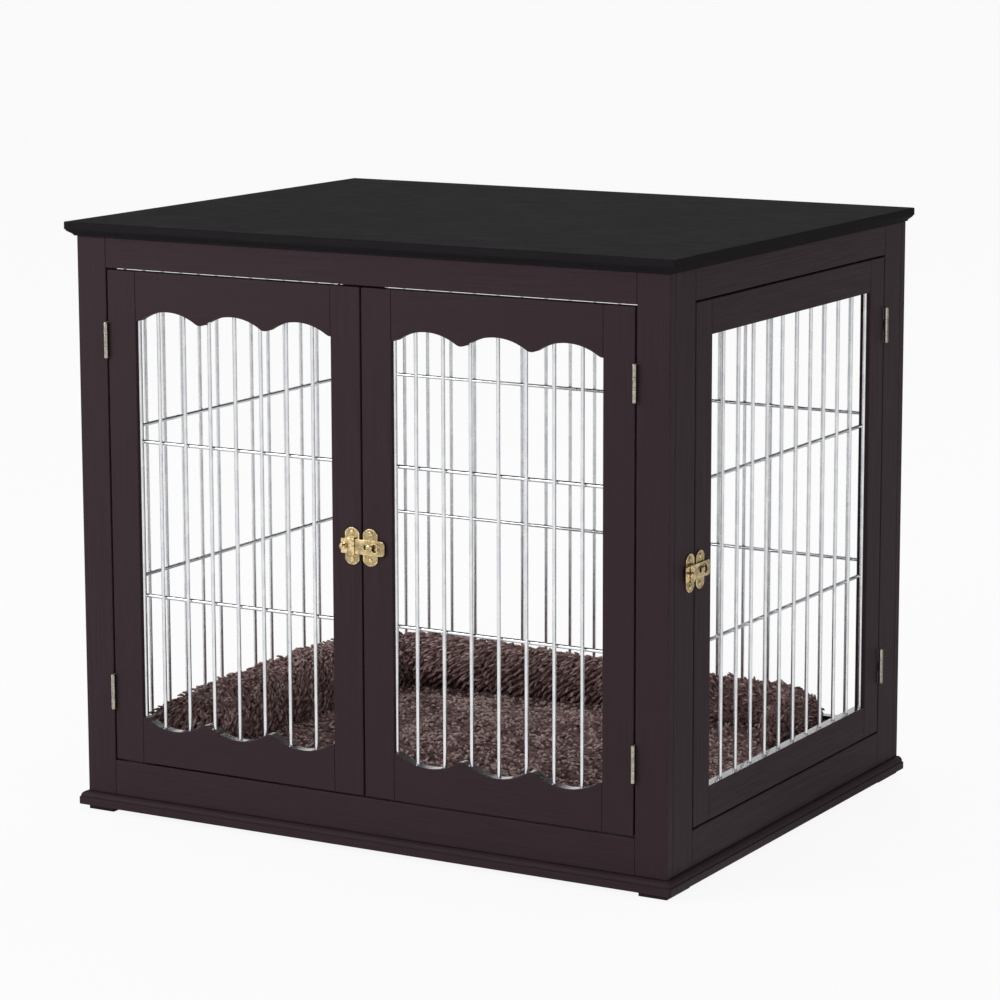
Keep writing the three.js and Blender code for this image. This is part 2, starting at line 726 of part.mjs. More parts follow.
// The pad: a stuffed rectangle with round corners, sides that pull in between them, and a low crown
function bedPad() {
  const halfX = (bedRight - bedLeft) / 2;
  const halfY = (bedBack - bedFront) / 2;
  const centreX = (bedLeft + bedRight) / 2;
  const centreY = (bedFront + bedBack) / 2;
  const seat = bolsterInset + bolsterWidth + seatMargin;
  // Each level is an inset from the pad's outer edge and a height as a share of the edge's height
  const crown = padCrown / padEdgeHeight;
  const levels = [
    [14, 0], [5, 0.12], [0, 0.45], [3, 0.8], [13, 1], [seat, 1],
    [seat + 30, 1 + 0.5 * crown], [seat + 70, 1 + 0.85 * crown], [seat + 110, 1 + crown],
  ];
  const count = 40;
  const squareness = 0.25;
  const rings = levels.map(([inset, share]) => {
    const ring = [];
    for (let index = 0; index < count; index += 1) {
      const angle = (index + 0.5) * 2 * Math.PI / count;
      const cosine = Math.cos(angle);
      const sine = Math.sin(angle);
      const pull = 1 - padDrawIn * Math.cos(2 * angle) ** 2;
      const x = (halfX - inset) * pull * Math.sign(cosine) * Math.abs(cosine) ** squareness;
      const y = (halfY - inset) * pull * Math.sign(sine) * Math.abs(sine) ** squareness;
      ring.push([centreX + x, centreY + y, bedFloor + share * padEdgeHeight]);
    }
    return ring;
  });
  return skinOverRings(rings);
}

// The bolster: a stuffed roll, flat below, that follows a C and narrows into the short arm
function bedBolster() {
  const wideHalf = bolsterWidth / 2;
  const shortHalf = shortArmWidth / 2;
  const left = bedLeft + bolsterInset + wideHalf;
  const back = bedBack - bolsterInset - wideHalf;
  const right = bedRight - bolsterInset - shortHalf;
  const path = new THREE.Path();
  path.moveTo(left, bedFront + bolsterInset);
  path.lineTo(left, back - leftCornerRadius);
  path.absarc(left + leftCornerRadius, back - leftCornerRadius, leftCornerRadius, Math.PI, Math.PI / 2, true);
  path.lineTo(right - rightCornerRadius, back);
  path.absarc(right - rightCornerRadius, back - rightCornerRadius, rightCornerRadius, Math.PI / 2, 0, true);
  path.lineTo(right, bedBack - shortArmLength);
  const length = path.getLength();
  const floor = bedFloor + padEdgeHeight + softGap;
  const narrowStart = 1 - narrowingStart / length;
  const narrowEnd = 1 - narrowingEnd / length;
  const steps = 52;
  const endCrowding = 0.35;
  const sides = 16;
  const rings = [];
  for (let step = 0; step <= steps; step += 1) {
    const crowded = (1 - Math.cos(Math.PI * step / steps)) / 2;
    const along = THREE.MathUtils.lerp(step / steps, crowded, endCrowding);
    const point = path.getPointAt(along);
    const tangent = path.getTangentAt(along);
    const narrowing = THREE.MathUtils.smoothstep(along, narrowStart, narrowEnd);
    const half = THREE.MathUtils.lerp(wideHalf, shortHalf, narrowing);
    const height = THREE.MathUtils.lerp(bolsterHeight, shortArmHeight, narrowing);
    const fromEnd = Math.min(along, 1 - along) * length;
    const roundness = Math.min(1, (fromEnd + 1) / half);
    const swell = Math.sqrt(1 - (1 - roundness) ** 2);
    const ring = [];
    for (let side = 0; side < sides; side += 1) {
      const angle = side * 2 * Math.PI / sides;
      const across = half * swell * Math.cos(angle);
      const rise = height * swell * Math.max(0, bolsterMiddle + (1 - bolsterMiddle) * Math.sin(angle));
      ring.push([point.x - tangent.y * across, point.y + tangent.x * across, floor + rise]);
    }
    rings.push(ring);
  }
  return skinOverRings(rings);
}

// ---------------------------------------------------------------------------------------------------
// Assembly
// ---------------------------------------------------------------------------------------------------

addTopAndBase();

const frontPanel = addPanel(0, bodyFront, new THREE.Vector3(1, 0, 0));
const rightPanel = addPanel(bodyWidth / 2, bodyMiddle, new THREE.Vector3(0, 1, 0));
const leftPanel = addPanel(-bodyWidth / 2, bodyMiddle, new THREE.Vector3(0, -1, 0));
const backPanel = addPanel(0, bodyBack, new THREE.Vector3(-1, 0, 0));

addFrame(frontPanel, 'front_frame', ['left', 'right'], bodyWidth, frameStileWidth);
addFrame(rightPanel, 'right_frame', ['front', 'rear'], sideFrameLength, sideStileWidth);
addFrame(leftPanel, 'left_frame', ['rear', 'front'], sideFrameLength, sideStileWidth);
addFrame(backPanel, 'back_frame', ['right', 'left'], bodyWidth, frameStileWidth);
addFixedGrille(leftPanel, 'left_grille', sideFrameLength, sideStileWidth, sideWirePitch);
addFixedGrille(backPanel, 'back_grille', bodyWidth, frameStileWidth, backWirePitch);

const frontSeam = bodyWidth / 2 - frameStileWidth - doorGap / 2;
addDoor(frontPanel, 'left_door', -doorGap / 2 - frontDoorWidth, -doorGap / 2, ['hinge', 'meeting'], true);
addDoor(frontPanel, 'right_door', doorGap / 2, doorGap / 2 + frontDoorWidth, ['meeting', 'hinge'], true);
addHingePair(frontPanel, 'left_door', -frontSeam, false);
addHingePair(frontPanel, 'right_door', frontSeam, true);
addLatch(frontPanel, 'front_latch', 0);

const sideSeam = sideDoorWidth / 2 + doorGap / 2;
addDoor(rightPanel, 'side_door', -sideDoorWidth / 2, sideDoorWidth / 2, ['latch', 'hinge'], false);
addHingePair(rightPanel, 'side_door', sideSeam, true);
addLatch(rightPanel, 'side_latch', -sideSeam);

addMesh(part, 'bed_pad', bedPad(), plush);
addMesh(part, 'bed_bolster', bedBolster(), plush);

export default part;
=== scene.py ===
# %% [markdown]
# # A dog crate that doubles as an end table
#
# The object is a small cabin of dark espresso boards round five welded wire grilles. It has a moulded
# table top, a beaded base, a pair of scalloped doors in front, a third door in its right side, and a plush
# bed inside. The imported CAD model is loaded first, and it stays the frame for everything here: each
# finer piece is placed from a CAD node's box or from the same sizes, and rides on the same body.

# %% Load the frame
import json
import math
import random

import bmesh
import bpy
import numpy as np
from mathutils import Matrix, Vector, noise

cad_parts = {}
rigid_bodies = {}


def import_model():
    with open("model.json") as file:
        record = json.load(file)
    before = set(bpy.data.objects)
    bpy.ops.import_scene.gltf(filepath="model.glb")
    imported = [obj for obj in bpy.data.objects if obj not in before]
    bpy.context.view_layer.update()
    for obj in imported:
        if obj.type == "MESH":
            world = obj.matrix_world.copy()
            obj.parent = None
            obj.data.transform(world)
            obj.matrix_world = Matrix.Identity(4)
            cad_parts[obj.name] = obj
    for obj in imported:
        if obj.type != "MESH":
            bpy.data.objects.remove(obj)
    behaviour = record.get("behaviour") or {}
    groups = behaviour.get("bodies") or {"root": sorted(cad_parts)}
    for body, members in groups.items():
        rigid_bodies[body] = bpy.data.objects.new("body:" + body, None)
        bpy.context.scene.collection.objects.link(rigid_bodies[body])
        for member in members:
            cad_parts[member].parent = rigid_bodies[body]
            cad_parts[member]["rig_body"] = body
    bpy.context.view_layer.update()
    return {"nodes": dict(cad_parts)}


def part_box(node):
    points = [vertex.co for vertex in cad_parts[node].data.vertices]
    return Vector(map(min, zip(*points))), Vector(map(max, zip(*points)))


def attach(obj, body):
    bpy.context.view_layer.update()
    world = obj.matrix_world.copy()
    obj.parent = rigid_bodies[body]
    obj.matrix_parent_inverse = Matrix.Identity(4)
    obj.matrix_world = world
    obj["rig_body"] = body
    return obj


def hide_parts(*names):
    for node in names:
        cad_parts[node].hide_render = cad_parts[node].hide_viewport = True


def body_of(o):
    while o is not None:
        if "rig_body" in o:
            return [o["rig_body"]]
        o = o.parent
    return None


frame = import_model()
mm = 0.001

# %% [markdown]
# ## Camera
#
# The photograph is taken from the front right, a little above the table top, with a long lens. A camera
# is placed by its azimuth round the object and its pitch. Its direction is worked out from these two
# angles and not from an empty to track, so that the numbers say plainly where the camera stands.

# %% Camera
camera_place = Vector((1.88898, -3.26829, 1.02123))
camera_azimuth = math.radians(29.1667)
camera_pitch = math.radians(9.6445)
camera_data = bpy.data.cameras.new("camera")
camera_data.sensor_width = 36
camera_data.lens = 127.69
camera_data.shift_x = -0.05
camera_data.shift_y = -0.05
camera = bpy.data.objects.new("camera", camera_data)
camera.location = camera_place
forward = Vector((
    -math.sin(camera_azimuth) * math.cos(camera_pitch),
    math.cos(camera_azimuth) * math.cos(camera_pitch),
    -math.sin(camera_pitch),
))
camera.rotation_mode = "QUATERNION"
camera.rotation_quaternion = forward.to_track_quat("-Z", "Y")
bpy.context.scene.collection.objects.link(camera)
bpy.context.scene.camera = camera
bpy.context.scene.view_settings.view_transform = "Standard"
print("camera distance in m:", round(camera_place.length, 2))

# %% [markdown]
# ## Effects that several materials share
#
# Real finishes aren't even: lacquer shows the grain beneath it, edges rub bare, and flat faces gather a
# little dust. Each effect is a node group with named sockets, so that a material only has to say how
# strong it wants it. A group puts out colours, masks and values, and the shader stays in the material.

# %% Node group helpers
def new_group(name, inputs, outputs):
    group = bpy.data.node_groups.new(name, "ShaderNodeTree")
    for label, kind, value in inputs:
        made = group.interface.new_socket(label, in_out="INPUT", socket_type=kind)
        if value is not None:
            made.default_value = value
    for label, kind in outputs:
        group.interface.new_socket(label, in_out="OUTPUT", socket_type=kind)
    enter = group.nodes.new("NodeGroupInput")
    leave = group.nodes.new("NodeGroupOutput")
    return group, enter, leave


def add_node(tree, kind, values=None, **settings):
    node = tree.nodes.new(kind)
    for key, value in settings.items():
        setattr(node, key, value)
    for socket, value in (values or {}).items():
        node.inputs[socket].default_value = value
    return node


def connect(tree, *pairs):
    for source, target in pairs:
        tree.links.new(source, target)


def maths(tree, operation, first, second=None, clamp=False):
    """A Math node whose inputs are sockets or numbers; returns its output."""
    node = add_node(tree, "ShaderNodeMath", operation=operation, use_clamp=clamp)
    for place, value in enumerate((first, second)):
        if value is None:
            continue
        if isinstance(value, (int, float)):
            node.inputs[place].default_value = value
        else:
            tree.links.new(value, node.inputs[place])
    return node.outputs[0]


def remap(tree, value, low, high, to_low=0.0, to_high=1.0):
    node = add_node(tree, "ShaderNodeMapRange", {1: low, 2: high, 3: to_low, 4: to_high})
    node.interpolation_type = "SMOOTHSTEP"
    tree.links.new(value, node.inputs[0])
    return node.outputs[0]


def mix_colour(tree, factor, first, second, blend="MIX"):
    node = add_node(tree, "ShaderNodeMix", data_type="RGBA", blend_type=blend)
    for place, value in ((0, factor), (6, first), (7, second)):
        if isinstance(value, (int, float, tuple)):
            node.inputs[place].default_value = value
        else:
            tree.links.new(value, node.inputs[place])
    return node.outputs[2]


# %% [markdown]
# ### Wood grain under paint
#
# The boards are painted, but the long pores of the wood still telegraph through the paint as fine
# streaks. Noise that is stretched along the board gives them. The object's own coordinates are used,
# with X along every board, so that each board's grain runs along its length and moves with its door.

# %% Grain group
grain_group, enter, leave = new_group(
    "painted grain",
    [("Streak length", "NodeSocketFloat", 14.0), ("Fineness", "NodeSocketFloat", 420.0)],
    [("Streaks", "NodeSocketFloat"), ("Clouds", "NodeSocketFloat")],
)
coordinates = add_node(grain_group, "ShaderNodeTexCoord")
info = add_node(grain_group, "ShaderNodeObjectInfo")
shift = maths(grain_group, "MULTIPLY", info.outputs["Random"], 7.0)
moved = add_node(grain_group, "ShaderNodeVectorMath", operation="ADD")
scale = add_node(grain_group, "ShaderNodeCombineXYZ")
stretched = add_node(grain_group, "ShaderNodeVectorMath", operation="MULTIPLY")
streaks = add_node(grain_group, "ShaderNodeTexNoise", {"Scale": 1.0, "Detail": 4.0, "Roughness": 0.62})
clouds = add_node(grain_group, "ShaderNodeTexNoise", {"Scale": 9.0, "Detail": 3.0})
connect(
    grain_group,
    (coordinates.outputs["Object"], moved.inputs[0]),
    (shift, moved.inputs[1]),
    (enter.outputs["Streak length"], scale.inputs[0]),
    (enter.outputs["Fineness"], scale.inputs[1]),
    (enter.outputs["Fineness"], scale.inputs[2]),
    (moved.outputs[0], stretched.inputs[0]),
    (scale.outputs[0], stretched.inputs[1]),
    (stretched.outputs[0], streaks.inputs["Vector"]),
    (moved.outputs[0], clouds.inputs["Vector"]),
    (streaks.outputs[0], leave.inputs["Streaks"]),
    (clouds.outputs[0], leave.inputs["Clouds"]),
)
print("grain group sockets:", [item.name for item in grain_group.interface.items_tree])

# %% [markdown]
# ### Worn edges
#
# Hands, collars and claws rub the lacquer thin along the edges of a board. Curvature could be measured
# by the renderer, but the meshes here know their own edges: each builder below writes 1 in an attribute
# called edge on its rounded corners and 0 on its flats. Noise breaks the line, as real wear is broken.

# %% Wear group
wear_group, enter, leave = new_group(
    "worn edges",
    [("Amount", "NodeSocketFloat", 0.5), ("Patch size", "NodeSocketFloat", 60.0)],
    [("Mask", "NodeSocketFloat")],
)
edge = add_node(wear_group, "ShaderNodeAttribute", attribute_name="edge")
coordinates = add_node(wear_group, "ShaderNodeTexCoord")
patches = add_node(wear_group, "ShaderNodeTexNoise", {"Detail": 5.0, "Roughness": 0.7})
connect(
    wear_group,
    (coordinates.outputs["Object"], patches.inputs["Vector"]),
    (enter.outputs["Patch size"], patches.inputs["Scale"]),
)
# On the espresso paint the lighter worn edge is partly a painted highlight along the eased edges.
broken = remap(wear_group, patches.outputs[0], 0.42, 0.66)
strong = maths(wear_group, "MULTIPLY", broken, enter.outputs["Amount"])
worn = maths(wear_group, "MULTIPLY", strong, edge.outputs["Fac"], clamp=True)
connect(wear_group, (worn, leave.inputs["Mask"]))
print("wear group sockets:", [item.name for item in wear_group.interface.items_tree])

# %% [markdown]
# ### Dust
#
# Dust lies only on what faces up, so the mask is the height of the surface normal, broken by noise.

# %% Dust group
dust_group, enter, leave = new_group(
    "settled dust",
    [("Amount", "NodeSocketFloat", 0.2), ("Patch size", "NodeSocketFloat", 30.0)],
    [("Mask", "NodeSocketFloat")],
)
geometry = add_node(dust_group, "ShaderNodeNewGeometry")
parts = add_node(dust_group, "ShaderNodeSeparateXYZ")
coordinates = add_node(dust_group, "ShaderNodeTexCoord")
patches = add_node(dust_group, "ShaderNodeTexNoise", {"Detail": 6.0, "Roughness": 0.65})
connect(
    dust_group,
    (geometry.outputs["Normal"], parts.inputs[0]),
    (coordinates.outputs["Object"], patches.inputs["Vector"]),
    (enter.outputs["Patch size"], patches.inputs["Scale"]),
)
facing_up = remap(dust_group, parts.outputs["Z"], 0.6, 1.0)
broken = remap(dust_group, patches.outputs[0], 0.35, 0.75)
lying = maths(dust_group, "MULTIPLY", facing_up, broken)
settled = maths(dust_group, "MULTIPLY", lying, enter.outputs["Amount"], clamp=True)
connect(dust_group, (settled, leave.inputs["Mask"]))
print("dust group sockets:", [item.name for item in dust_group.interface.items_tree])

# %% [markdown]
# ### Tarnish
#
# Plated wire and cast brass aren't one tone. Low, soft patches carry most of it, with a little fine
# speckle on top, and the same value also roughens the shine where the metal has dulled.

# %% Tarnish group
tarnish_group, enter, leave = new_group(
    "tarnish",
    [("Patch size", "NodeSocketFloat", 80.0), ("Speckle size", "NodeSocketFloat", 900.0)],
    [("Patches", "NodeSocketFloat"), ("Speckle", "NodeSocketFloat")],
)
coordinates = add_node(tarnish_group, "ShaderNodeTexCoord")
patches = add_node(tarnish_group, "ShaderNodeTexNoise", {"Detail": 3.0})
speckle = add_node(tarnish_group, "ShaderNodeTexNoise", {"Detail": 2.0})
connect(
    tarnish_group,
    (coordinates.outputs["Object"], patches.inputs["Vector"]),
    (coordinates.outputs["Object"], speckle.inputs["Vector"]),
    (enter.outputs["Patch size"], patches.inputs["Scale"]),
    (enter.outputs["Speckle size"], speckle.inputs["Scale"]),
    (patches.outputs[0], leave.inputs["Patches"]),
    (speckle.outputs[0], leave.inputs["Speckle"]),
)
print("tarnish group sockets:", [item.name for item in tarnish_group.interface.items_tree])

# %% [markdown]
# ## Materials
#
# Each material is one Principled shader. What is the same all over it, such as the sheen or the coat, is
# set on the shader's own socket, and only what changes over the surface comes through nodes.

# %% Material helper
def new_material(name, **values):
    material = bpy.data.materials.new(name)
    material.use_nodes = True
    tree = material.node_tree
    tree.nodes.clear()
    shader = tree.nodes.new("ShaderNodeBsdfPrincipled")
    output = tree.nodes.new("ShaderNodeOutputMaterial")
    tree.links.new(shader.outputs[0], output.inputs[0])
    for label, value in values.items():
        shader.inputs[label.replace("_", " ")].default_value = value
    return material, tree, shader


def place_group(tree, group, **values):
    node = tree.nodes.new("ShaderNodeGroup")
    node.node_tree = group
    for label, value in values.items():
        node.inputs[label.replace("_", " ")].default_value = value
    return node


def bumped(tree, shader, height, strength, distance):
    bump = add_node(tree, "ShaderNodeBump", {"Strength": strength, "Distance": distance})
    tree.links.new(height, bump.inputs["Height"])
    tree.links.new(bump.outputs[0], shader.inputs["Normal"])


# %% [markdown]
# ### Espresso paint
#
# Nearly black, a little red, with a soft satin. The paint's own colour carries the depth and its shine
# is low, because the photograph shows no reflections on the faces. Streaks of grain lighten it slightly,
# worn edges show a red brown, which is partly wear and partly a painted highlight along the eased edges,
# and the top gets a breath of dust. The top board gets a darker copy of the same paint, and that darkness
# is painted shade.

# %% Espresso paint
def espresso(name, tone, roughness, shine, dust, wear):
    red, green, blue = tone
    material, tree, shader = new_material(name, Specular_IOR_Level=shine)
    grain = place_group(tree, grain_group)
    worn = place_group(tree, wear_group, Amount=wear)
    dusty = place_group(tree, dust_group, Amount=dust)
    streak = remap(tree, grain.outputs["Streaks"], 0.36, 0.68)
    cloud = remap(tree, grain.outputs["Clouds"], 0.3, 0.7)
    dark = (red * 0.93, green * 0.93, blue * 0.94, 1)
    light = (red * 1.08, green * 1.07, blue * 1.06, 1)
    veined = mix_colour(tree, streak, dark, light)
    clouded = mix_colour(tree, cloud, veined, (red, green, blue, 1))
    # Worn edges: a red brown that is partly real wear and partly a painted highlight along the eased edges.
    worn_edges_and_highlight = mix_colour(tree, worn.outputs[0], clouded, (0.075, 0.038, 0.028, 1))
    dusted = mix_colour(tree, dusty.outputs[0], worn_edges_and_highlight, (0.16, 0.15, 0.145, 1))
    rough = remap(tree, grain.outputs["Streaks"], 0.3, 0.7, roughness + 0.05, roughness - 0.05)
    connect(tree, (dusted, shader.inputs["Base Color"]), (rough, shader.inputs["Roughness"]))
    bumped(tree, shader, streak, 0.18, 0.00008)
    return material


paint = espresso("espresso paint", (0.039, 0.0248, 0.0292), 0.52, 0.06, 0.0, 0.5)
# The top board has the same paint as the body; its darker, greyer colour here is painted shade.
top_paint_with_painted_shade = espresso("espresso paint of the top", (0.0165, 0.0148, 0.0165), 0.66, 0.012, 0.05, 0.4)

# %% [markdown]
# ### Lacquered sills
#
# The edges that the wires stand on are sealed with a thick gloss lacquer. Seen at a low angle they
# mirror the bright room, which draws a pale line along every scallop. A clear coat over the same paint
# does that by itself, because any coat is nearly a mirror at a glancing angle.

# %% Sill lacquer
sill_paint, tree, shader = new_material(
    "lacquered sill", Specular_IOR_Level=0.5, Coat_Weight=1.0, Coat_Roughness=0.04, Coat_IOR=2.6,
)
grain = place_group(tree, grain_group)
streak = remap(tree, grain.outputs["Streaks"], 0.36, 0.68)
sill_colour = mix_colour(tree, streak, (0.024, 0.015, 0.017, 1), (0.036, 0.023, 0.026, 1))
rough = remap(tree, grain.outputs["Clouds"], 0.3, 0.7, 0.22, 0.34)
connect(tree, (sill_colour, shader.inputs["Base Color"]), (rough, shader.inputs["Roughness"]))
bumped(tree, shader, streak, 0.12, 0.00005)

# %% [markdown]
# ### Metals
#
# The wires are zinc plated, the hinges nickel, and the latches an antique brass that is paler where it
# is touched. All three share the tarnish group with their own sizes and colours.

# %% Metals
def metal(name, dull, bright, roughness, patch, speckle, rub):
    material, tree, shader = new_material(name, Metallic=1.0)
    stains = place_group(tree, tarnish_group, Patch_size=patch, Speckle_size=speckle)
    patches = remap(tree, stains.outputs["Patches"], 0.34, 0.66)
    specks = remap(tree, stains.outputs["Speckle"], 0.42, 0.62)
    both = maths(tree, "ADD", maths(tree, "MULTIPLY", patches, 0.6), maths(tree, "MULTIPLY", specks, 0.4))
    stained = mix_colour(tree, both, dull, bright)
    worn = place_group(tree, wear_group, Amount=rub, Patch_size=240.0)
    rubbed = mix_colour(tree, worn.outputs[0], stained, tuple(min(1, c * 1.45) for c in bright[:3]) + (1,))
    rough = remap(tree, both, 0.0, 1.0, roughness + 0.08, roughness - 0.05)
    connect(tree, (rubbed, shader.inputs["Base Color"]), (rough, shader.inputs["Roughness"]))
    bumped(tree, shader, specks, 0.12, 0.00003)
    return material


zinc = metal("zinc wire", (0.70, 0.72, 0.75, 1), (0.86, 0.87, 0.88, 1), 0.24, 60.0, 1400.0, 0.0)
nickel = metal("hinge nickel", (0.30, 0.275, 0.225, 1), (0.56, 0.525, 0.45, 1), 0.30, 220.0, 1800.0, 0.6)
brass = metal("antique brass", (0.30, 0.225, 0.11, 1), (0.58, 0.455, 0.25, 1), 0.26, 180.0, 1500.0, 2.2)

# No holes are cut: a near-black disc round each wire stands for the shade in a drilled hole's gap, so this colour is
# painted shade.
drilled, tree, shader = new_material("drilled hole", Roughness=0.9, Specular_IOR_Level=0.1)
holes = place_group(tree, tarnish_group, Patch_size=300.0, Speckle_size=2500.0)
hole_shade = mix_colour(tree, holes.outputs["Speckle"], (0.006, 0.004, 0.004, 1), (0.02, 0.014, 0.012, 1))
connect(tree, (hole_shade, shader.inputs["Base Color"]))

# %% [markdown]
# ### Curls
#
# Seen close, plush is a mat of small curls a few millimetres wide, with single fibres on top of them.
# Ridged noise gives both: the middle grey of a warped noise is a thin winding line, so the distance from
# it draws winding locks. The group puts out the two sizes apart, and the bed's cover weighs them.

# %% Curl group
curl_group, enter, leave = new_group(
    "plush curls",
    [("Curl size", "NodeSocketFloat", 330.0), ("Fibre size", "NodeSocketFloat", 1300.0)],
    [("Curls", "NodeSocketFloat"), ("Fibres", "NodeSocketFloat"), ("Patches", "NodeSocketFloat")],
)
coordinates = add_node(curl_group, "ShaderNodeTexCoord")
for socket, target, detail, distortion in (("Curl size", "Curls", 2.0, 1.4), ("Fibre size", "Fibres", 2.0, 0.6)):
    winding = add_node(curl_group, "ShaderNodeTexNoise", {"Detail": detail, "Distortion": distortion})
    connect(
        curl_group,
        (coordinates.outputs["Object"], winding.inputs["Vector"]),
        (enter.outputs[socket], winding.inputs["Scale"]),
    )
    off_line = maths(curl_group, "ABSOLUTE", maths(curl_group, "SUBTRACT", winding.outputs[0], 0.5))
    ridged = remap(curl_group, off_line, 0.0, 0.16, 1.0, 0.0)
    connect(curl_group, (ridged, leave.inputs[target]))
patches = add_node(curl_group, "ShaderNodeTexNoise", {"Scale": 38.0, "Detail": 3.0})
connect(
    curl_group,
    (coordinates.outputs["Object"], patches.inputs["Vector"]),
    (patches.outputs[0], leave.inputs["Patches"]),
)
print("curl group sockets:", [item.name for item in curl_group.interface.items_tree])

# %% [markdown]
# ### Plush
#
# The bed is covered in a curly chocolate pile. The larger curls are real shape, and each point knows how high
# it lies in the pile from an attribute called pile. The smaller curls are added to that height, and the sum
# drives the colour from root to tip: nearly black low in the pile and between the curls, which is painted
# shade, up to dull beige tips, which are partly the pile's lighter tips and partly a painted highlight.
# Sheen gives the soft bright rim.

# %% Plush
plush, tree, shader = new_material(
    "chocolate plush", Roughness=0.95, Specular_IOR_Level=0.1, Sheen_Weight=0.12, Sheen_Roughness=0.5,
)
shader.inputs["Sheen Tint"].default_value = (0.6, 0.45, 0.43, 1)
height = add_node(tree, "ShaderNodeAttribute", attribute_name="pile")
curls = place_group(tree, curl_group)
# The ramp paints shade low in the pile and between the curls, and partly paints the highlight on the tips.
ramp = add_node(tree, "ShaderNodeValToRGB")
ramp.color_ramp.elements[0].color = (0.012, 0.0075, 0.0085, 1)
ramp.color_ramp.elements[1].color = (0.68, 0.55, 0.52, 1)
ramp.color_ramp.elements.new(0.3).color = (0.062, 0.037, 0.038, 1)
ramp.color_ramp.elements.new(0.55).color = (0.21, 0.127, 0.124, 1)
ramp.color_ramp.elements.new(0.78).color = (0.45, 0.29, 0.275, 1)
small = maths(tree, "ADD", maths(tree, "MULTIPLY", curls.outputs["Curls"], 0.16),
              maths(tree, "MULTIPLY", curls.outputs["Fibres"], 0.16))
wander = maths(tree, "MULTIPLY", maths(tree, "SUBTRACT", curls.outputs["Patches"], 0.5), 0.5)
large = maths(tree, "ADD", maths(tree, "MULTIPLY", height.outputs["Fac"], 0.8), wander)
level = maths(tree, "ADD", large, small, clamp=True)
connect(tree, (level, ramp.inputs[0]), (ramp.outputs[0], shader.inputs["Base Color"]))
bumped(tree, shader, small, 0.6, 0.001)
print("materials:", [material.name for material in bpy.data.materials if material.use_nodes][-8:])

# %% [markdown]
# ## Helpers that make and place a piece
#
# Every finer piece does the same three things: it takes a mesh and a material, stands for one or more CAD
# nodes, and rides on the body that its node rides on.

# %% Placing helpers
def body_of_node(node):
    return body_of(frame["nodes"][node])[0]


def show(name, mesh, materials, slot, place, *nodes):
    piece = bpy.data.objects.new(name, mesh)
    bpy.context.scene.collection.objects.link(piece)
    for material in materials:
        mesh.materials.append(material)
    piece.matrix_world = place
    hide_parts(*nodes)
    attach(piece, body_of_node(nodes[0]))
    return piece


def flat_shading(piece):
    """Smooth corners, with the large faces kept flat by their weight."""
    for polygon in piece.data.polygons:
        polygon.use_smooth = True
    weighted = piece.modifiers.new("weighted normals", "WEIGHTED_NORMAL")
    weighted.keep_sharp = True
    weighted.weight = 90


def write_edges(mesh, is_edge):
    """Writes the attribute that the worn edges read: 1 where is_edge(point) is true."""
    attribute = mesh.attributes.new("edge", "FLOAT", "POINT")
    attribute.data.foreach_set("value", [1.0 if is_edge(vertex.co) else 0.0 for vertex in mesh.vertices])


def mesh_from(bm, name):
    mesh = bpy.data.meshes.new(name)
    bmesh.ops.recalc_face_normals(bm, faces=bm.faces[:])
    bm.to_mesh(mesh)
    bm.free()
    return mesh


# %% [markdown]
# ## Straight boards
#
# Frames and doors are made of straight boards, each 12 mm thick. A real one is planed, and its long
# edges are eased with sandpaper. A block with rounded edges would do for one board. Here a function makes it with
# its grain along X, and a loop turns it to lie where its CAD node lies, so all boards share one shape.

# %% Boards
board_round = 1.0 * mm
board_names = [
    name for name in sorted(frame["nodes"])
    if (name.endswith("_stile") or name.endswith("_rail"))
    and name not in {
        "left_door_top_rail", "left_door_bottom_rail", "right_door_top_rail", "right_door_bottom_rail",
    }
]


def rounded_block(size, rounding, segments=3):
    bm = bmesh.new()
    bmesh.ops.create_cube(bm, size=1)
    bmesh.ops.scale(bm, vec=size, verts=bm.verts)
    bmesh.ops.bevel(
        bm, geom=bm.edges[:], offset=rounding, segments=segments, profile=0.5, affect="EDGES",
        clamp_overlap=True,
    )
    mesh = mesh_from(bm, "block")
    half = [side / 2 - 1e-6 for side in size]
    write_edges(mesh, lambda point: all(abs(point[axis]) < half[axis] for axis in range(3)))
    return mesh


def along_longest(low, high):
    """The size and place of a block with X along the longest side of a box and Z along the shortest."""
    size = high - low
    order = sorted(range(3), key=lambda axis: -size[axis])
    axes = [Vector([1.0 if axis == other else 0.0 for other in range(3)]) for axis in order]
    axes[2] = axes[0].cross(axes[1])
    place = Matrix(axes).transposed().to_4x4()
    place.translation = (low + high) / 2
    return Vector([size[axis] for axis in order]), place


glossy_boards = {"side_door_bottom_rail", "left_frame_bottom_rail", "back_frame_bottom_rail"}
for name in board_names:
    size, place = along_longest(*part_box(name))
    mesh = rounded_block(size, board_round)
    piece = show(f"{name}_wood", mesh, [paint, sill_paint], "espresso_paint", place, name)
    flat_shading(piece)
    if name in glossy_boards:
        for polygon in mesh.polygons:
            facing = place.to_3x3() @ polygon.normal
            if facing.z > 0.9:
                polygon.material_index = 1
print("boards:", len(board_names))

# %% [markdown]
# ## Feet
#
# Four low blocks, hardly seen, that lift the base board off the floor.

# %% Feet
for name in sorted(frame["nodes"]):
    if name.startswith("foot_"):
        size, place = along_longest(*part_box(name))
        piece = show(f"{name}_block", rounded_block(size, 0.8 * mm), [paint], "espresso_paint", place, name)
        flat_shading(piece)

# %% [markdown]
# ## Table top and base board
#
# Both have an edge that a router has cut along the front and the sides, and none at the back. On the real
# board a cutter of fixed shape follows the outline. Sweeping one profile round the outline does the
# same, with the two front corners turned through a small arc, as sanding leaves them.

# %% Moulded boards
corner_radius = 2.0 * mm
corner_steps = 5


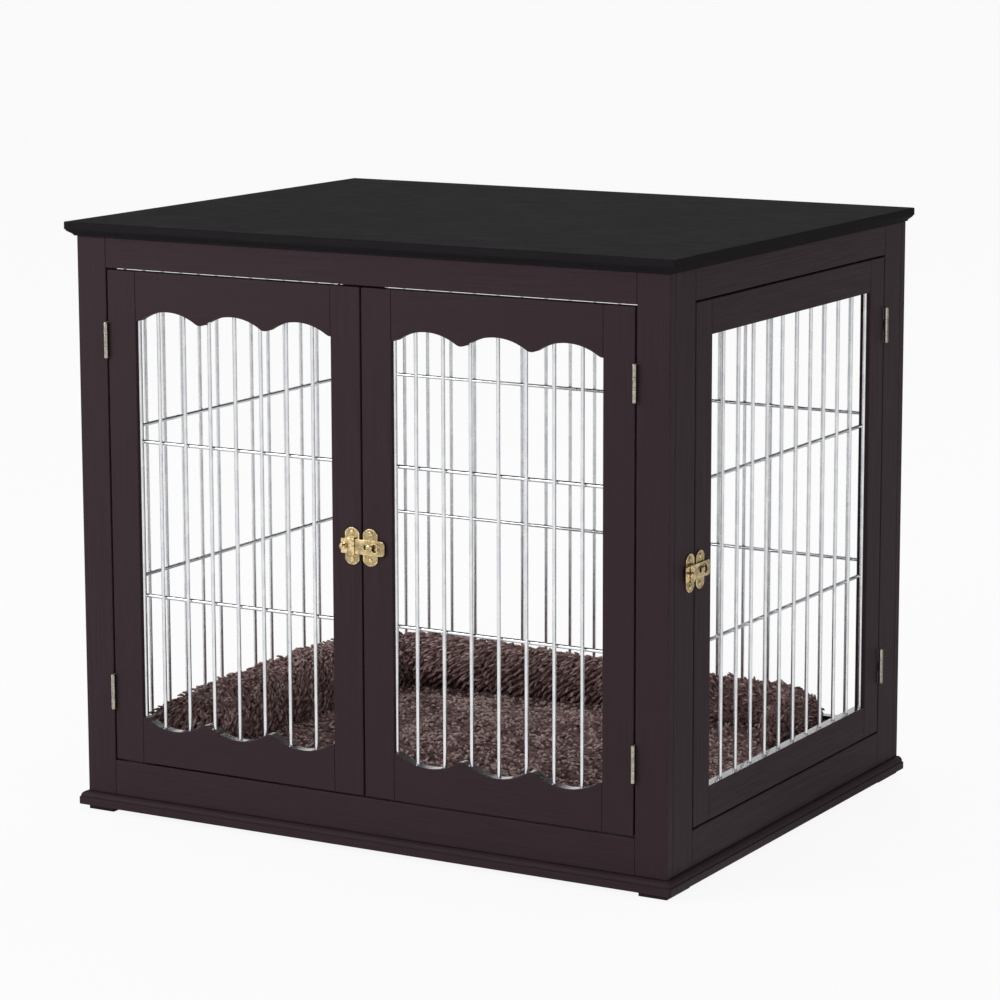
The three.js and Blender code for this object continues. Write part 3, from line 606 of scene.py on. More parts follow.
def moulded_board(profile, half_width, front, back):
    """Rings of (inset, inset of the back, height) from the bottom up, joined and capped."""
    bm = bmesh.new()
    rings = []
    for inset, back_inset, height in profile:
        side = half_width - inset
        radius = max(0.02 * mm, corner_radius - inset)
        ring = [(-side, back - back_inset)]
        for sign in (-1, 1):
            for step in range(corner_steps + 1):
                turn = math.pi / 2 * step / corner_steps
                along, across = (math.cos(turn), math.sin(turn)) if sign < 0 else (math.sin(turn), math.cos(turn))
                x = sign * (side - radius + radius * along)
                ring.append((x, front + inset + radius - radius * across))
        ring.append((side, back - back_inset))
        rings.append([bm.verts.new((x, y, height)) for x, y in ring])
    count = len(rings[0])
    for low, high in zip(rings, rings[1:]):
        for index in range(count):
            after = (index + 1) % count
            bm.faces.new((low[index], low[after], high[after], high[index]))
    bm.faces.new(rings[0][::-1])
    bm.faces.new(rings[-1])
    return mesh_from(bm, "moulded board")


def top_profile():
    """Upwards: an ogee, a quirk, an upright band and a rounded top edge."""
    thickness, edge_radius, band, quirk, depth = (value * mm for value in (15, 1.5, 6.5, 1.2, 6.5))
    ogee = thickness - edge_radius - band
    points = [(quirk + depth * (1 + math.cos(math.pi * share / 20)) / 2, 0, ogee * share / 20) for share in range(21)]
    points += [(quirk * 0.15, 0, ogee), (0, 0, ogee + quirk * 0.15)]
    for step in range(7):
        turn = math.pi / 2 * step / 6
        inset = edge_radius * (1 - math.cos(turn))
        points.append((inset, inset, thickness - edge_radius * (1 - math.sin(turn))))
    return points


def base_profile():
    """Upwards: an upright band, a quirk and a quarter-round bead."""
    thickness, band, quirk, bead = (value * mm for value in (14, 8, 1.5, 5.5))
    points = [(0.5 * mm, 0, 0), (0, 0, 0.5 * mm), (0, 0, band - 0.4 * mm), (0.3 * mm, 0, band), (quirk, 0, band)]
    for step in range(11):
        turn = math.pi / 2 * step / 10
        points.append((quirk + bead * (1 - math.cos(turn)), 0, thickness - bead * (1 - math.sin(turn))))
    return points


for name, profile, material in (("top_board", top_profile(), top_paint_with_painted_shade), ("base_board", base_profile(), paint)):
    low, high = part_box(name)
    mesh = moulded_board(profile, high.x, low.y, high.y)
    write_edges(mesh, lambda point: False)
    piece = show(f"{name}_wood", mesh, [material], "espresso_paint", Matrix.Translation((0, 0, low.z)), name)
    flat_shading(piece)
    piece.data.set_sharp_from_angle(angle=math.radians(50))
    print(name, "profile points:", len(profile))

# %% [markdown]
# ## Panels
#
# The scalloped rails, grilles, hinges and latches all lie in the plane of a panel. Drawing them there,
# with X to the right, Y up from the base board and Z out of the face, keeps their numbers the same as on
# a shop drawing. One matrix for each panel then stands them up.

# %% Panel planes
base_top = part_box("base_board")[1].z
body_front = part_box("front_frame_left_stile")[0].y
body_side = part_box("right_frame_front_stile")[1].x
body_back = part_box("back_frame_left_stile")[1].y
body_middle = (body_front + body_back) / 2
board_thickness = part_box("front_frame_left_stile")[1].y - body_front


def panel(x, y, right):
    up = Vector((0, 0, 1))
    right = Vector(right)
    matrix = Matrix((right, up, right.cross(up))).transposed().to_4x4()
    matrix.translation = (x, y, base_top)
    return matrix


front_panel = panel(0, body_front, (1, 0, 0))
right_panel = panel(body_side, body_middle, (0, 1, 0))
left_panel = panel(-body_side, body_middle, (0, -1, 0))
back_panel = panel(0, body_back, (-1, 0, 0))


def panel_box(matrix, node):
    """A node's box in a panel's own coordinates."""
    corners = [matrix.inverted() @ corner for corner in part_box(node)]
    low = Vector([min(corner[axis] for corner in corners) for axis in range(3)])
    high = Vector([max(corner[axis] for corner in corners) for axis in range(3)])
    return low, high


print("front face at", round(body_front / mm, 1), "side face at", round(body_side / mm, 1))

# %% [markdown]
# ## Outlines with holes and eased edges
#
# Scalloped rails and latch plates are flat shapes cut from sheet. Blender's 2D curves fill such an
# outline, holes included, give it a thickness and ease its edges in one go. The curve is turned into a mesh, because
# the finish wants attributes and material slots on its faces.

# %% Flat shapes
def flat_shape(outlines, low, high, rounding, segments=3):
    """A mesh from closed outlines in X and Y, between two heights, its edges rounded inwards."""
    curve = bpy.data.curves.new("outline", "CURVE")
    curve.dimensions = "2D"
    curve.fill_mode = "BOTH"
    curve.extrude = (high - low) / 2 - rounding
    curve.bevel_depth = rounding
    curve.bevel_resolution = segments
    curve.offset = -rounding
    for outline in outlines:
        spline = curve.splines.new("POLY")
        spline.points.add(len(outline) - 1)
        for point, (x, y) in zip(spline.points, outline):
            point.co = (x, y, 0, 1)
        spline.use_cyclic_u = True
    holder = bpy.data.objects.new("outline", curve)
    mesh = bpy.data.meshes.new_from_object(holder)
    bpy.data.objects.remove(holder)
    bpy.data.curves.remove(curve)
    bm = bmesh.new()
    bm.from_mesh(mesh)
    bpy.data.meshes.remove(mesh)
    bmesh.ops.remove_doubles(bm, verts=bm.verts, dist=rounding * 0.02)
    bmesh.ops.translate(bm, vec=(0, 0, (low + high) / 2), verts=bm.verts)
    return mesh_from(bm, "flat shape")


def arc(centre_x, centre_y, radius, start, end, steps):
    turns = [start + (end - start) * step / steps for step in range(steps + 1)]
    return [(centre_x + radius * math.cos(turn), centre_y + radius * math.sin(turn)) for turn in turns]


# %% [markdown]
# ## Scalloped rails
#
# The two front doors have three scallops at the top and three at the bottom. Each scallop is an arc,
# neighbouring arcs meet in a rounded cusp, and half a cusp lies against each stile. The radius follows
# from the pitch, the depth and the cusp, which keeps the curve fair without any table of points.

# %% Scallops
scallop_count = 3
scallop_depth = 11.7 * mm
cusp_radius = 10 * mm
scalloped_top_width = 40.5 * mm
scalloped_bottom_width = 38.5 * mm


def scallops(width):
    pitch = width / scallop_count
    reach = (pitch * pitch / 4 + scallop_depth ** 2) / (2 * scallop_depth)
    radius = reach - cusp_radius
    return pitch, reach, radius, (pitch / 2) * radius / reach


def scallop_drop(width, distance):
    """How far the edge hangs below the top of its arcs, at a distance from the rail's middle."""
    pitch, _, radius, touch = scallops(width)
    nearest = round(distance / pitch + (scallop_count - 1) / 2)
    index = min(scallop_count - 1, max(0, nearest))
    from_arc = abs(distance - (index - (scallop_count - 1) / 2) * pitch)
    if from_arc <= touch:
        return radius - math.sqrt(radius * radius - from_arc * from_arc)
    from_cusp = pitch / 2 - from_arc
    return scallop_depth - cusp_radius + math.sqrt(cusp_radius ** 2 - from_cusp ** 2)


def scalloped_outline(width, rail_width):
    steps = 120
    points = [(width / 2, 0), (-width / 2, 0)]
    for step in range(steps + 1):
        x = -width / 2 + width * step / steps
        points.append((x, -rail_width - scallop_drop(width, x)))
    return points


for door in ("left_door", "right_door"):
    for rail, rail_width, sign in (("top", scalloped_top_width, 1), ("bottom", scalloped_bottom_width, -1)):
        node = f"{door}_{rail}_rail"
        low, high = panel_box(front_panel, node)
        width = high.x - low.x
        outline = scalloped_outline(width, rail_width)
        mesh = flat_shape([outline], -board_thickness, 0, 0.9 * mm)
        flip = Matrix.Diagonal((1, sign, 1, 1))
        mesh.transform(Matrix.Translation(((low.x + high.x) / 2, high.y if sign > 0 else low.y, 0)) @ flip)
        if sign < 0:
            mesh.flip_normals()
        centre = Vector(((low.x + high.x) / 2, (low.y + high.y) / 2, -board_thickness / 2))
        mesh.transform(Matrix.Translation(-centre))
        half = board_thickness / 2
        write_edges(mesh, lambda point: abs(point.z) < half - 1e-6 and abs(point.z) > half - 0.85 * mm)
        place = front_panel @ Matrix.Translation(centre)
        piece = show(f"{node}_wood", mesh, [paint, sill_paint], "espresso_paint", place, node)
        flat_shading(piece)
        inner = -1 if sign > 0 else 1
        for polygon in mesh.polygons:
            near_side = abs(abs(polygon.center.x) - width / 2) < 0.5 * mm
            if polygon.normal.y * inner > 0.5 and not near_side and abs(polygon.normal.z) < 0.5:
                polygon.material_index = 1 if sign < 0 else 0
        print(node, "faces:", len(mesh.polygons))

# %% [markdown]
# ## Grilles
#
# A grille is straight steel wire: uprights in front and two cross wires welded behind them, then zinc
# plated. Cylinders along straight lines would be enough, but a weld shows as a small collar of melted
# metal where two wires meet, and each wire goes into a drilled hole. The welds are made as blobs, and the
# shaded gap of each hole is painted as a near-black disc round the wire.

# %% Wires
wire_radius = 2 * mm
weld_depth = 0.4 * mm
upright_depth = -board_thickness / 2
cross_depth = upright_depth - 2 * wire_radius + weld_depth
into_wood = 3 * mm
edge_sink = 0.5 * mm


def add_rod(bm, start, end, radius, sides=14):
    """A closed rod between two points; returns its faces."""
    start, end = Vector(start), Vector(end)
    length = (end - start).length
    made = bmesh.ops.create_cone(
        bm, cap_ends=True, cap_tris=False, segments=sides, radius1=radius, radius2=radius, depth=length,
    )
    turn = (end - start).to_track_quat("Z", "Y").to_matrix().to_4x4()
    bmesh.ops.transform(bm, matrix=Matrix.Translation((start + end) / 2) @ turn, verts=made["verts"])
    return made["verts"]


def add_blob(bm, centre, size):
    made = bmesh.ops.create_icosphere(bm, subdivisions=2, radius=1)
    matrix = Matrix.Translation(centre) @ Matrix.Diagonal((*size, 1))
    bmesh.ops.transform(bm, matrix=matrix, verts=made["verts"])


def add_grille(node, matrix, columns, rows, low_end, high_end, left, right):
    """Uprights at each X of columns between low_end(x) and high_end(x), cross wires at each Y of rows."""
    bm = bmesh.new()
    for x in columns:
        low = low_end(x) - into_wood
        high = high_end(x) + into_wood
        add_rod(bm, (x, low, upright_depth), (x, high, upright_depth), wire_radius)
    for y in rows:
        add_rod(bm, (left - into_wood, y, cross_depth), (right + into_wood, y, cross_depth), wire_radius)
        for x in columns:
            middle = (upright_depth + cross_depth) / 2
            add_blob(bm, (x, y, middle), (2.5 * mm, 2.5 * mm, 1.1 * mm))
    mesh = mesh_from(bm, node)
    write_edges(mesh, lambda point: False)
    piece = show(f"{node}_wires", mesh, [zinc], "wire_zinc", matrix, node)
    for polygon in mesh.polygons:
        polygon.use_smooth = len(polygon.vertices) < 6
    mesh.set_sharp_from_angle(angle=math.radians(60))
    return piece


def add_holes(name, matrix, node, columns, ends):
    """A near-black disc round each free wire where it enters the wood, painted shade for the drilled hole's gap;
    ends(x) gives heights and slopes.
    """
    bm = bmesh.new()
    for x in columns[1:-1]:
        for height, slope, sign in ends(x):
            made = bmesh.ops.create_circle(bm, cap_ends=True, segments=20, radius=wire_radius + 0.4 * mm)
            turn = Matrix.Rotation(math.atan(slope), 4, "Z") @ Matrix.Rotation(-sign * math.pi / 2, 4, "X")
            lift = 0.06 * mm * sign
            place = Matrix.Translation((x, height + lift, upright_depth)) @ turn
            bmesh.ops.transform(bm, matrix=place, verts=made["verts"])
    mesh = mesh_from(bm, name)
    piece = show(name, mesh, [drilled], "espresso_paint", matrix, node)
    return piece


def columns_between(left, right, pitch, edge_space=20 * mm):
    """Uprights at an even pitch, and one more at each stile, a little sunk into its groove."""
    count = math.floor((right - left - 2 * edge_space) / pitch) + 1
    middle = (left + right) / 2
    even = [middle + (index - (count - 1) / 2) * pitch for index in range(count)]
    return [left + edge_sink, *even, right - edge_sink]


def cross_rows(matrix, node):
    """The heights of the two cross wires, half the spacing below and above the middle of the opening."""
    return [0.303 - 0.0825, 0.303 + 0.0825]


# %% Door and panel grilles
front_pitch = 31.7 * mm
side_pitch = 34 * mm
back_pitch = 32 * mm

for door, stiles in (("left_door", ("hinge", "meeting")), ("right_door", ("meeting", "hinge"))):
    left = panel_box(front_panel, f"{door}_{stiles[0]}_stile")[1].x
    right = panel_box(front_panel, f"{door}_{stiles[1]}_stile")[0].x
    rail_low, rail_high = panel_box(front_panel, f"{door}_top_rail")
    door_low = panel_box(front_panel, f"{door}_bottom_rail")[0].y
    door_high = rail_high.y
    width = rail_high.x - rail_low.x
    middle = (left + right) / 2
    columns = columns_between(left, right, front_pitch)

    def low_edge(x):
        return door_low + scalloped_bottom_width + scallop_drop(width, x - middle)

    def high_edge(x):
        return door_high - scalloped_top_width - scallop_drop(width, x - middle)

    def hole_ends(x):
        step = 0.5 * mm
        low_slope = (low_edge(x + step) - low_edge(x - step)) / (2 * step)
        high_slope = (high_edge(x + step) - high_edge(x - step)) / (2 * step)
        return [(low_edge(x), low_slope, 1), (high_edge(x), high_slope, -1)]

    node = f"{door}_grille"
    rows = cross_rows(front_panel, node)
    add_grille(node, front_panel, columns, rows, low_edge, high_edge, left, right)
    add_holes(f"{door}_drilled_holes", front_panel, node, columns, hole_ends)

for node, matrix, pitch, left_board, right_board, low_board, high_board in (
    ("side_door_grille", right_panel, side_pitch, "side_door_latch_stile", "side_door_hinge_stile",
     "side_door_bottom_rail", "side_door_top_rail"),
    ("left_grille", left_panel, side_pitch, "left_frame_rear_stile", "left_frame_front_stile",
     "left_frame_bottom_rail", "left_frame_top_rail"),
    ("back_grille", back_panel, back_pitch, "back_frame_right_stile", "back_frame_left_stile",
     "back_frame_bottom_rail", "back_frame_top_rail"),
):
    left = panel_box(matrix, left_board)[1].x
    right = panel_box(matrix, right_board)[0].x
    low = panel_box(matrix, low_board)[1].y
    high = panel_box(matrix, high_board)[0].y
    columns = columns_between(left, right, pitch)
    rows = cross_rows(matrix, node)
    add_grille(node, matrix, columns, rows, lambda x: low, lambda x: high, left, right)
    add_holes(f"{node}_drilled_holes", matrix, node, columns, lambda x: [(low, 0, 1), (high, 0, -1)])
    print(node, "uprights:", len(columns))

# %% [markdown]
# ## Hinges
#
# Small butt hinges with a rolled barrel of three knuckles. The frame leaf has the outer two knuckles and
# the riveted pin, and the door leaf the middle one. Each knuckle is a strip rolled round the pin, so it
# keeps a seam along its length, and a turned profile makes the pin's domed heads. The gaps between the
# knuckles are really open.

# %% Hinge parts
barrel_radius = 2.3 * mm
seam_half_angle, seam_depth, seam_turn = 0.12, 0.6 * mm, 0.45
barrel_stand_off = 2.8 * mm
hinge_length = 38 * mm
knuckle_gap = 0.3 * mm
leaf_gap = 0.3 * mm
leaf_thickness = 0.75 * mm
pin_radius = 1.2 * mm
hinge_inset = 74 * mm
leaf_back = -board_thickness + 4 * mm


def add_turned(bm, profile, sides=28):
    """A closed turned shape about Z from (radius, height) pairs; the profile starts and ends on the axis."""
    rings = []
    for radius, height in profile:
        if radius < 1e-7:
            rings.append([bm.verts.new((0, 0, height))])
            continue
        turns = [2 * math.pi * step / sides for step in range(sides)]
        rings.append([bm.verts.new((radius * math.cos(t), radius * math.sin(t), height)) for t in turns])
    for low, high in zip(rings, rings[1:]):
        for step in range(sides):
            after = (step + 1) % sides
            if len(low) == 1:
                bm.faces.new((low[0], high[after], high[step]))
            elif len(high) == 1:
                bm.faces.new((low[step], low[after], high[0]))
            else:
                bm.faces.new((low[step], low[after], high[after], high[step]))
    return [vertex for ring in rings for vertex in ring]


def add_knuckle(bm, low, high):
    """A rolled strip: a round bar with a seam along it where the strip meets itself."""
    seam = seam_turn - math.pi / 2
    outline = arc(0, 0, barrel_radius, seam + seam_half_angle, seam - seam_half_angle + 2 * math.pi, 40)
    inner = barrel_radius - seam_depth
    outline += arc(0, 0, inner, seam - seam_half_angle + 2 * math.pi, seam + seam_half_angle + 2 * math.pi, 2)
    mesh = flat_shape([outline], low, high, 0.15 * mm, 2)
    upright = Matrix.Translation((0, 0, barrel_stand_off)) @ Matrix.Rotation(-math.pi / 2, 4, "X")
    mesh.transform(upright)
    bm.from_mesh(mesh)
    bpy.data.meshes.remove(mesh)


def add_plate(bm, low, high):
    made = bmesh.ops.create_cube(bm, size=1)
    size = Vector(high) - Vector(low)
    middle = (Vector(high) + Vector(low)) / 2
    matrix = Matrix.Translation(middle) @ Matrix.Diagonal((*size, 1))
    bmesh.ops.transform(bm, matrix=matrix, verts=made["verts"])
    edges = list({edge for vertex in made["verts"] for edge in vertex.link_edges})
    bmesh.ops.bevel(bm, geom=edges, offset=0.12 * mm, segments=2, profile=0.5, affect="EDGES")


def hinge_leaf(side, knuckles):
    """A leaf's plate in the gap, its tabs round the pin, and its knuckles."""
    bm = bmesh.new()
    near, far = side * leaf_gap / 2, side * (leaf_gap / 2 + leaf_thickness)
    low_x, high_x = min(near, far), max(near, far)
    add_plate(bm, (low_x, -hinge_length / 2, leaf_back), (high_x, hinge_length / 2, -0.05 * mm))
    for low, high in knuckles:
        add_plate(bm, (low_x, low + 0.1 * mm, -1 * mm), (high_x, high - 0.1 * mm, barrel_stand_off))
        add_knuckle(bm, low, high)
    return bm


def add_pin_heads(bm):
    for sign in (-1, 1):
        end = hinge_length / 2
        profile = [(0, -0.3 * mm), (pin_radius * 1.25, -0.3 * mm), (pin_radius * 1.25, 0.15 * mm)]
        profile += [(pin_radius * 0.9, 0.45 * mm), (0, 0.6 * mm)]
        verts = add_turned(bm, profile, 20)
        matrix = Matrix.Translation((0, sign * end, barrel_stand_off)) @ Matrix.Rotation(-sign * math.pi / 2, 4, "X")
        bmesh.ops.transform(bm, matrix=matrix, verts=verts)


def metal_piece(name, bm, material, slot, place, node, sharp=40, is_edge=lambda point: False):
    mesh = mesh_from(bm, name)
    write_edges(mesh, is_edge)
    piece = show(name, mesh, [material], slot, place, node)
    for polygon in mesh.polygons:
        polygon.use_smooth = True
    mesh.set_sharp_from_angle(angle=math.radians(sharp))
    return piece


def add_hinge(name, matrix, x, y, towards_left):
    place = matrix @ Matrix.Translation((x, y, 0))
    if towards_left:
        place = place @ Matrix.Rotation(math.pi, 4, "Z")
    end, split = hinge_length / 2, hinge_length / 6
    outer = [(-end, -split - knuckle_gap / 2), (split + knuckle_gap / 2, end)]
    middle = [(-split + knuckle_gap / 2, split - knuckle_gap / 2)]
    frame_leaf = hinge_leaf(-1, outer)
    add_pin_heads(frame_leaf)
    nodes = (f"{name}_frame_leaf", f"{name}_door_leaf")
    metal_piece(f"{nodes[0]}_metal", frame_leaf, nickel, "hinge_nickel", place, nodes[0])
    metal_piece(f"{nodes[1]}_metal", hinge_leaf(1, middle), nickel, "hinge_nickel", place, nodes[1])


# %% Hinges on the doors
door_low, door_high = 0.040, 0.566
front_seam = 0.313
side_seam = (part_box("side_door_hinge_stile")[1].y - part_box("side_door_latch_stile")[0].y) / 2 + 0.001
for door, matrix, x, towards_left in (
    ("left_door", front_panel, -front_seam, False),
    ("right_door", front_panel, front_seam, True),
    ("side_door", right_panel, side_seam, True),
):
    add_hinge(f"{door}_upper_hinge", matrix, x, door_high - hinge_inset, towards_left)
    add_hinge(f"{door}_lower_hinge", matrix, x, door_low + hinge_inset, towards_left)
print("hinge seam of the side door in mm:", round(side_seam / mm, 2))

# %% [markdown]
# ## Latches
#
# Each latch is a guide plate with a strap, a keeper plate with a headed stud, and a bar between them
# with a keyhole slot and a finger knob. All of it is stamped or turned brass. Stamped parts come from
# flat outlines with eased edges and turned parts from profiles, the way the real ones are made. A die
# presses the middle of each plate down inside a rim: the rim is rubbed bright and the field stays dull.

# %% Latch sizes
plate_low, plate_top = 0.1 * mm, 1.3 * mm
bar_low, bar_top = 1.6 * mm, 3.1 * mm
guide_centre = -11.35 * mm
stud_centre = 10.25 * mm
plate_height, plate_dome = 39 * mm, 5.5 * mm
strap_width, strap_thickness = 8.4 * mm, 1.2 * mm
bar_height, bar_length = 15.5 * mm, 52 * mm
latch_travel = 7 * mm
latch_height = 301 * mm
rim_width, field_depth = 1.1 * mm, 0.25 * mm


def plate_outline(centre, width):
    half = width / 2
    radius = (half * half + plate_dome ** 2) / (2 * plate_dome)
    lean = math.asin(min(1, half / radius))
    up = plate_height / 2 - radius
    top = arc(centre, up, radius, math.pi / 2 - lean, math.pi / 2 + lean, 20)
    bottom = arc(centre, -up, radius, -math.pi / 2 - lean, -math.pi / 2 + lean, 20)
    return top + bottom


def keyhole(margin):
    narrow = 2.5 * mm + margin
    wide = 4.3 * mm + margin
    back = stud_centre - 4.3 * mm
    far = stud_centre + latch_travel
    lean = math.asin(narrow / wide)
    return arc(back, 0, narrow, math.pi / 2, math.pi * 1.5, 16) + arc(
        far, 0, wide, math.pi + lean, math.pi * 3 - lean, 28
    )


def bar_outline():
    right = stud_centre + latch_travel + 11 * mm
    left = right - bar_length
    half, corner = bar_height / 2, 4 * mm
    points = [(left, half), (left, -half)]
    points += arc(right - corner, -half + corner, corner, -math.pi / 2, 0, 8)
    points += arc(right - corner, half - corner, corner, 0, math.pi / 2, 8)
    return points


# %% Latch pieces
def joined_mesh(bm, mesh, matrix=None):
    """Adds a finished mesh to a bmesh and frees it."""
    if matrix is not None:
        mesh.transform(matrix)
    bm.from_mesh(mesh)
    bpy.data.meshes.remove(mesh)


def with_sunk_field(mesh):
    """Presses the top face of a plate down inside a rim, as stamping does."""
    bm = bmesh.new()
    bm.from_mesh(mesh)
    top = [face for face in bm.faces if face.normal.z > 0.99]
    bmesh.ops.inset_region(bm, faces=top, thickness=rim_width, use_even_offset=True)
    bmesh.ops.inset_region(bm, faces=top, thickness=field_depth, depth=-field_depth, use_even_offset=True)
    bm.to_mesh(mesh)
    bm.free()
    return mesh


def add_screw(bm, x, y):
    """A domed head with a cross recess, as a polar grid whose height is a formula."""
    radius, rings, sides = 2.6 * mm, 14, 64
    grid = []
    for ring in range(rings + 1):
        distance = radius * ring / rings
        row = []
        for side in range(sides if ring else 1):
            turn = 2 * math.pi * side / sides
            u, v = distance * math.cos(turn), distance * math.sin(turn)
            height = 1.0 * mm * math.sqrt(max(0, 1 - (distance / radius) ** 2 * 0.92))
            arm = min(abs(u), abs(v))
            inside = distance < 1.75 * mm and arm < 0.36 * mm
            height -= 0.62 * mm * (1 - distance / radius) if inside else 0
            row.append(bm.verts.new((x + u, y + v, plate_top + height)))
        grid.append(row)
    skirt = [bm.verts.new((v.co.x, v.co.y, plate_top - 2 * field_depth)) for v in grid[-1]]
    grid.append(skirt)
    for ring in range(len(grid) - 1):
        for side in range(sides):
            after = (side + 1) % sides
            low, high = grid[ring], grid[ring + 1]
            if len(low) == 1:
                bm.faces.new((low[0], high[side], high[after]))
            else:
                bm.faces.new((low[side], high[side], high[after], low[after]))
    bm.faces.new(skirt[::-1])


def plate_with_screws(centre, width):
    bm = bmesh.new()
    joined_mesh(bm, with_sunk_field(flat_shape([plate_outline(centre, width)], plate_low, plate_top, 0.4 * mm)))
    for sign in (-1, 1):
        add_screw(bm, centre, sign * 14 * mm)
    return bm


def strap_outline():
    """The strap seen along the bar: a flat bridge with rounded shoulders, in Y and height."""
    inside = bar_height / 2 + 0.3 * mm
    outside = inside + strap_thickness
    ceiling, top = 3.4 * mm, 4.6 * mm
    foot = 0.7 * mm
    shoulder = 1.3 * mm
    points = [(-outside, foot), (-inside, foot)]
    points += arc(-inside + 0.4 * mm, ceiling - 0.4 * mm, 0.4 * mm, math.pi, math.pi / 2, 4)
    points += arc(inside - 0.4 * mm, ceiling - 0.4 * mm, 0.4 * mm, math.pi / 2, 0, 4)
    points += [(inside, foot), (outside, foot)]
    points += arc(outside - shoulder, top - shoulder, shoulder, 0, math.pi / 2, 6)
    points += arc(-outside + shoulder, top - shoulder, shoulder, math.pi / 2, math.pi, 6)
    return points


def add_strap(bm):
    mesh = flat_shape([strap_outline()], -strap_width / 2, strap_width / 2, 0.5 * mm, 4)
    # The drawing's X and Y become Y and Z, and its depth becomes X
    turn = Matrix(((0, 0, 1, guide_centre), (1, 0, 0, 0), (0, 1, 0, 0), (0, 0, 0, 1)))
    joined_mesh(bm, mesh, turn)


def add_stud(bm):
    neck, head = 2.0 * mm, 3.8 * mm
    profile = [(0, 1.0 * mm), (neck, 1.0 * mm), (neck, 4.0 * mm), (head * 0.93, 4.0 * mm), (head, 4.2 * mm)]
    for step in range(8):
        turn = math.pi / 2 * step / 7
        profile.append((head * math.cos(turn), 4.5 * mm + 1.1 * mm * math.sin(turn)))
    profile[-1] = (0, 5.6 * mm)
    verts = add_turned(bm, profile, 36)
    bmesh.ops.transform(bm, matrix=Matrix.Translation((stud_centre, 0, 0)), verts=verts)


def knob_profile():
    """Upwards: a collar, a cove, a neck and a button head."""
    base, neck, head = 2.9 * mm, 1.9 * mm, 3.4 * mm
    profile = [(0, -0.6 * mm), (base, -0.6 * mm), (base, 0.5 * mm), (base * 0.94, 0.8 * mm)]
    for step in range(6):
        turn = math.pi / 2 * step / 5
        profile.append((base * 0.94 - (base * 0.94 - neck) * math.sin(turn), 0.9 * mm + 1.5 * mm * (1 - math.cos(turn))))
    profile.append((neck, 3.6 * mm))
    for step in range(9):
        turn = math.pi * step / 8
        profile.append((head - 0.95 * mm + 0.95 * mm * math.sin(turn), 4.7 * mm - 0.95 * mm * math.cos(turn)))
    profile += [(head * 0.6, 6.1 * mm), (head * 0.35, 6.5 * mm), (0, 6.6 * mm)]
    return profile


def latch_bar():
    bm = bmesh.new()
    joined_mesh(bm, flat_shape([bar_outline(), keyhole(0.35 * mm)], bar_low, bar_top, 0.3 * mm))
    joined_mesh(bm, flat_shape([keyhole(1.2 * mm), keyhole(0)], bar_low + 0.1 * mm, bar_top + 0.6 * mm, 0.3 * mm))
    verts = add_turned(bm, knob_profile(), 36)
    knob_x = guide_centre - strap_width / 2 - 3.8 * mm
    bmesh.ops.transform(bm, matrix=Matrix.Translation((knob_x, 0, bar_top)), verts=verts)
    return bm


def add_latch(name, matrix, seam):
    place = matrix @ Matrix.Translation((seam, latch_height, 0))
    guide = plate_with_screws(guide_centre, 17.3 * mm)
    add_strap(guide)
    keeper = plate_with_screws(stud_centre, 17.5 * mm)
    add_stud(keeper)
    for label, bm, is_edge in (
        ("guide", guide, lambda point: point.z > plate_top - field_depth / 2),
        ("keeper", keeper, lambda point: point.z > plate_top - field_depth / 2),
        ("bar", latch_bar(), lambda point: point.z > bar_top + 0.1 * mm or abs(point.y) > bar_height / 2 - rim_width),
    ):
        node = f"{name}_{label}"
        metal_piece(f"{node}_metal", bm, brass, "latch_brass", place, node, is_edge=is_edge)


add_latch("front_latch", front_panel, 0)
add_latch("side_latch", right_panel, -side_seam)
print("latches made")

# %% [markdown]
# ## The bed
#
# A stuffed pad with a C-shaped bolster on it, both sewn from curly plush. Stuffing makes a cover swell
# everywhere except where seams hold it, which a cloth simulation with a little inner pressure shows
# best. The simulation starts from a slightly smaller shape, and how far a point may move is capped.

# %% Bed shapes
pad_low, pad_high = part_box("bed_pad")
roll_low, roll_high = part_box("bed_bolster")
bed_left, bed_right = pad_low.x, pad_high.x
bed_front, bed_back = pad_low.y, pad_high.y
pad_edge_height = 34 * mm
pad_crown = 8 * mm
bolster_width = 106 * mm
bolster_height = 56 * mm
bolster_middle = 0.46
short_arm_width = 66 * mm
short_arm_height = 51 * mm
short_arm_length = 150 * mm
narrowing_start = 640 * mm
narrowing_end = 330 * mm
bolster_inset = 2 * mm
left_corner_radius = 72 * mm
right_corner_radius = 50 * mm


def skin(rings):
    """Rings of points joined into a closed mesh, with a face at each end."""
    bm = bmesh.new()
    made = [[bm.verts.new(point) for point in ring] for ring in rings]
    count = len(made[0])
    for low, high in zip(made, made[1:]):
        for index in range(count):
            after = (index + 1) % count
            bm.faces.new((low[index], low[after], high[after], high[index]))
    bm.faces.new(made[0][::-1])
    bm.faces.new(made[-1])
    return mesh_from(bm, "skin")


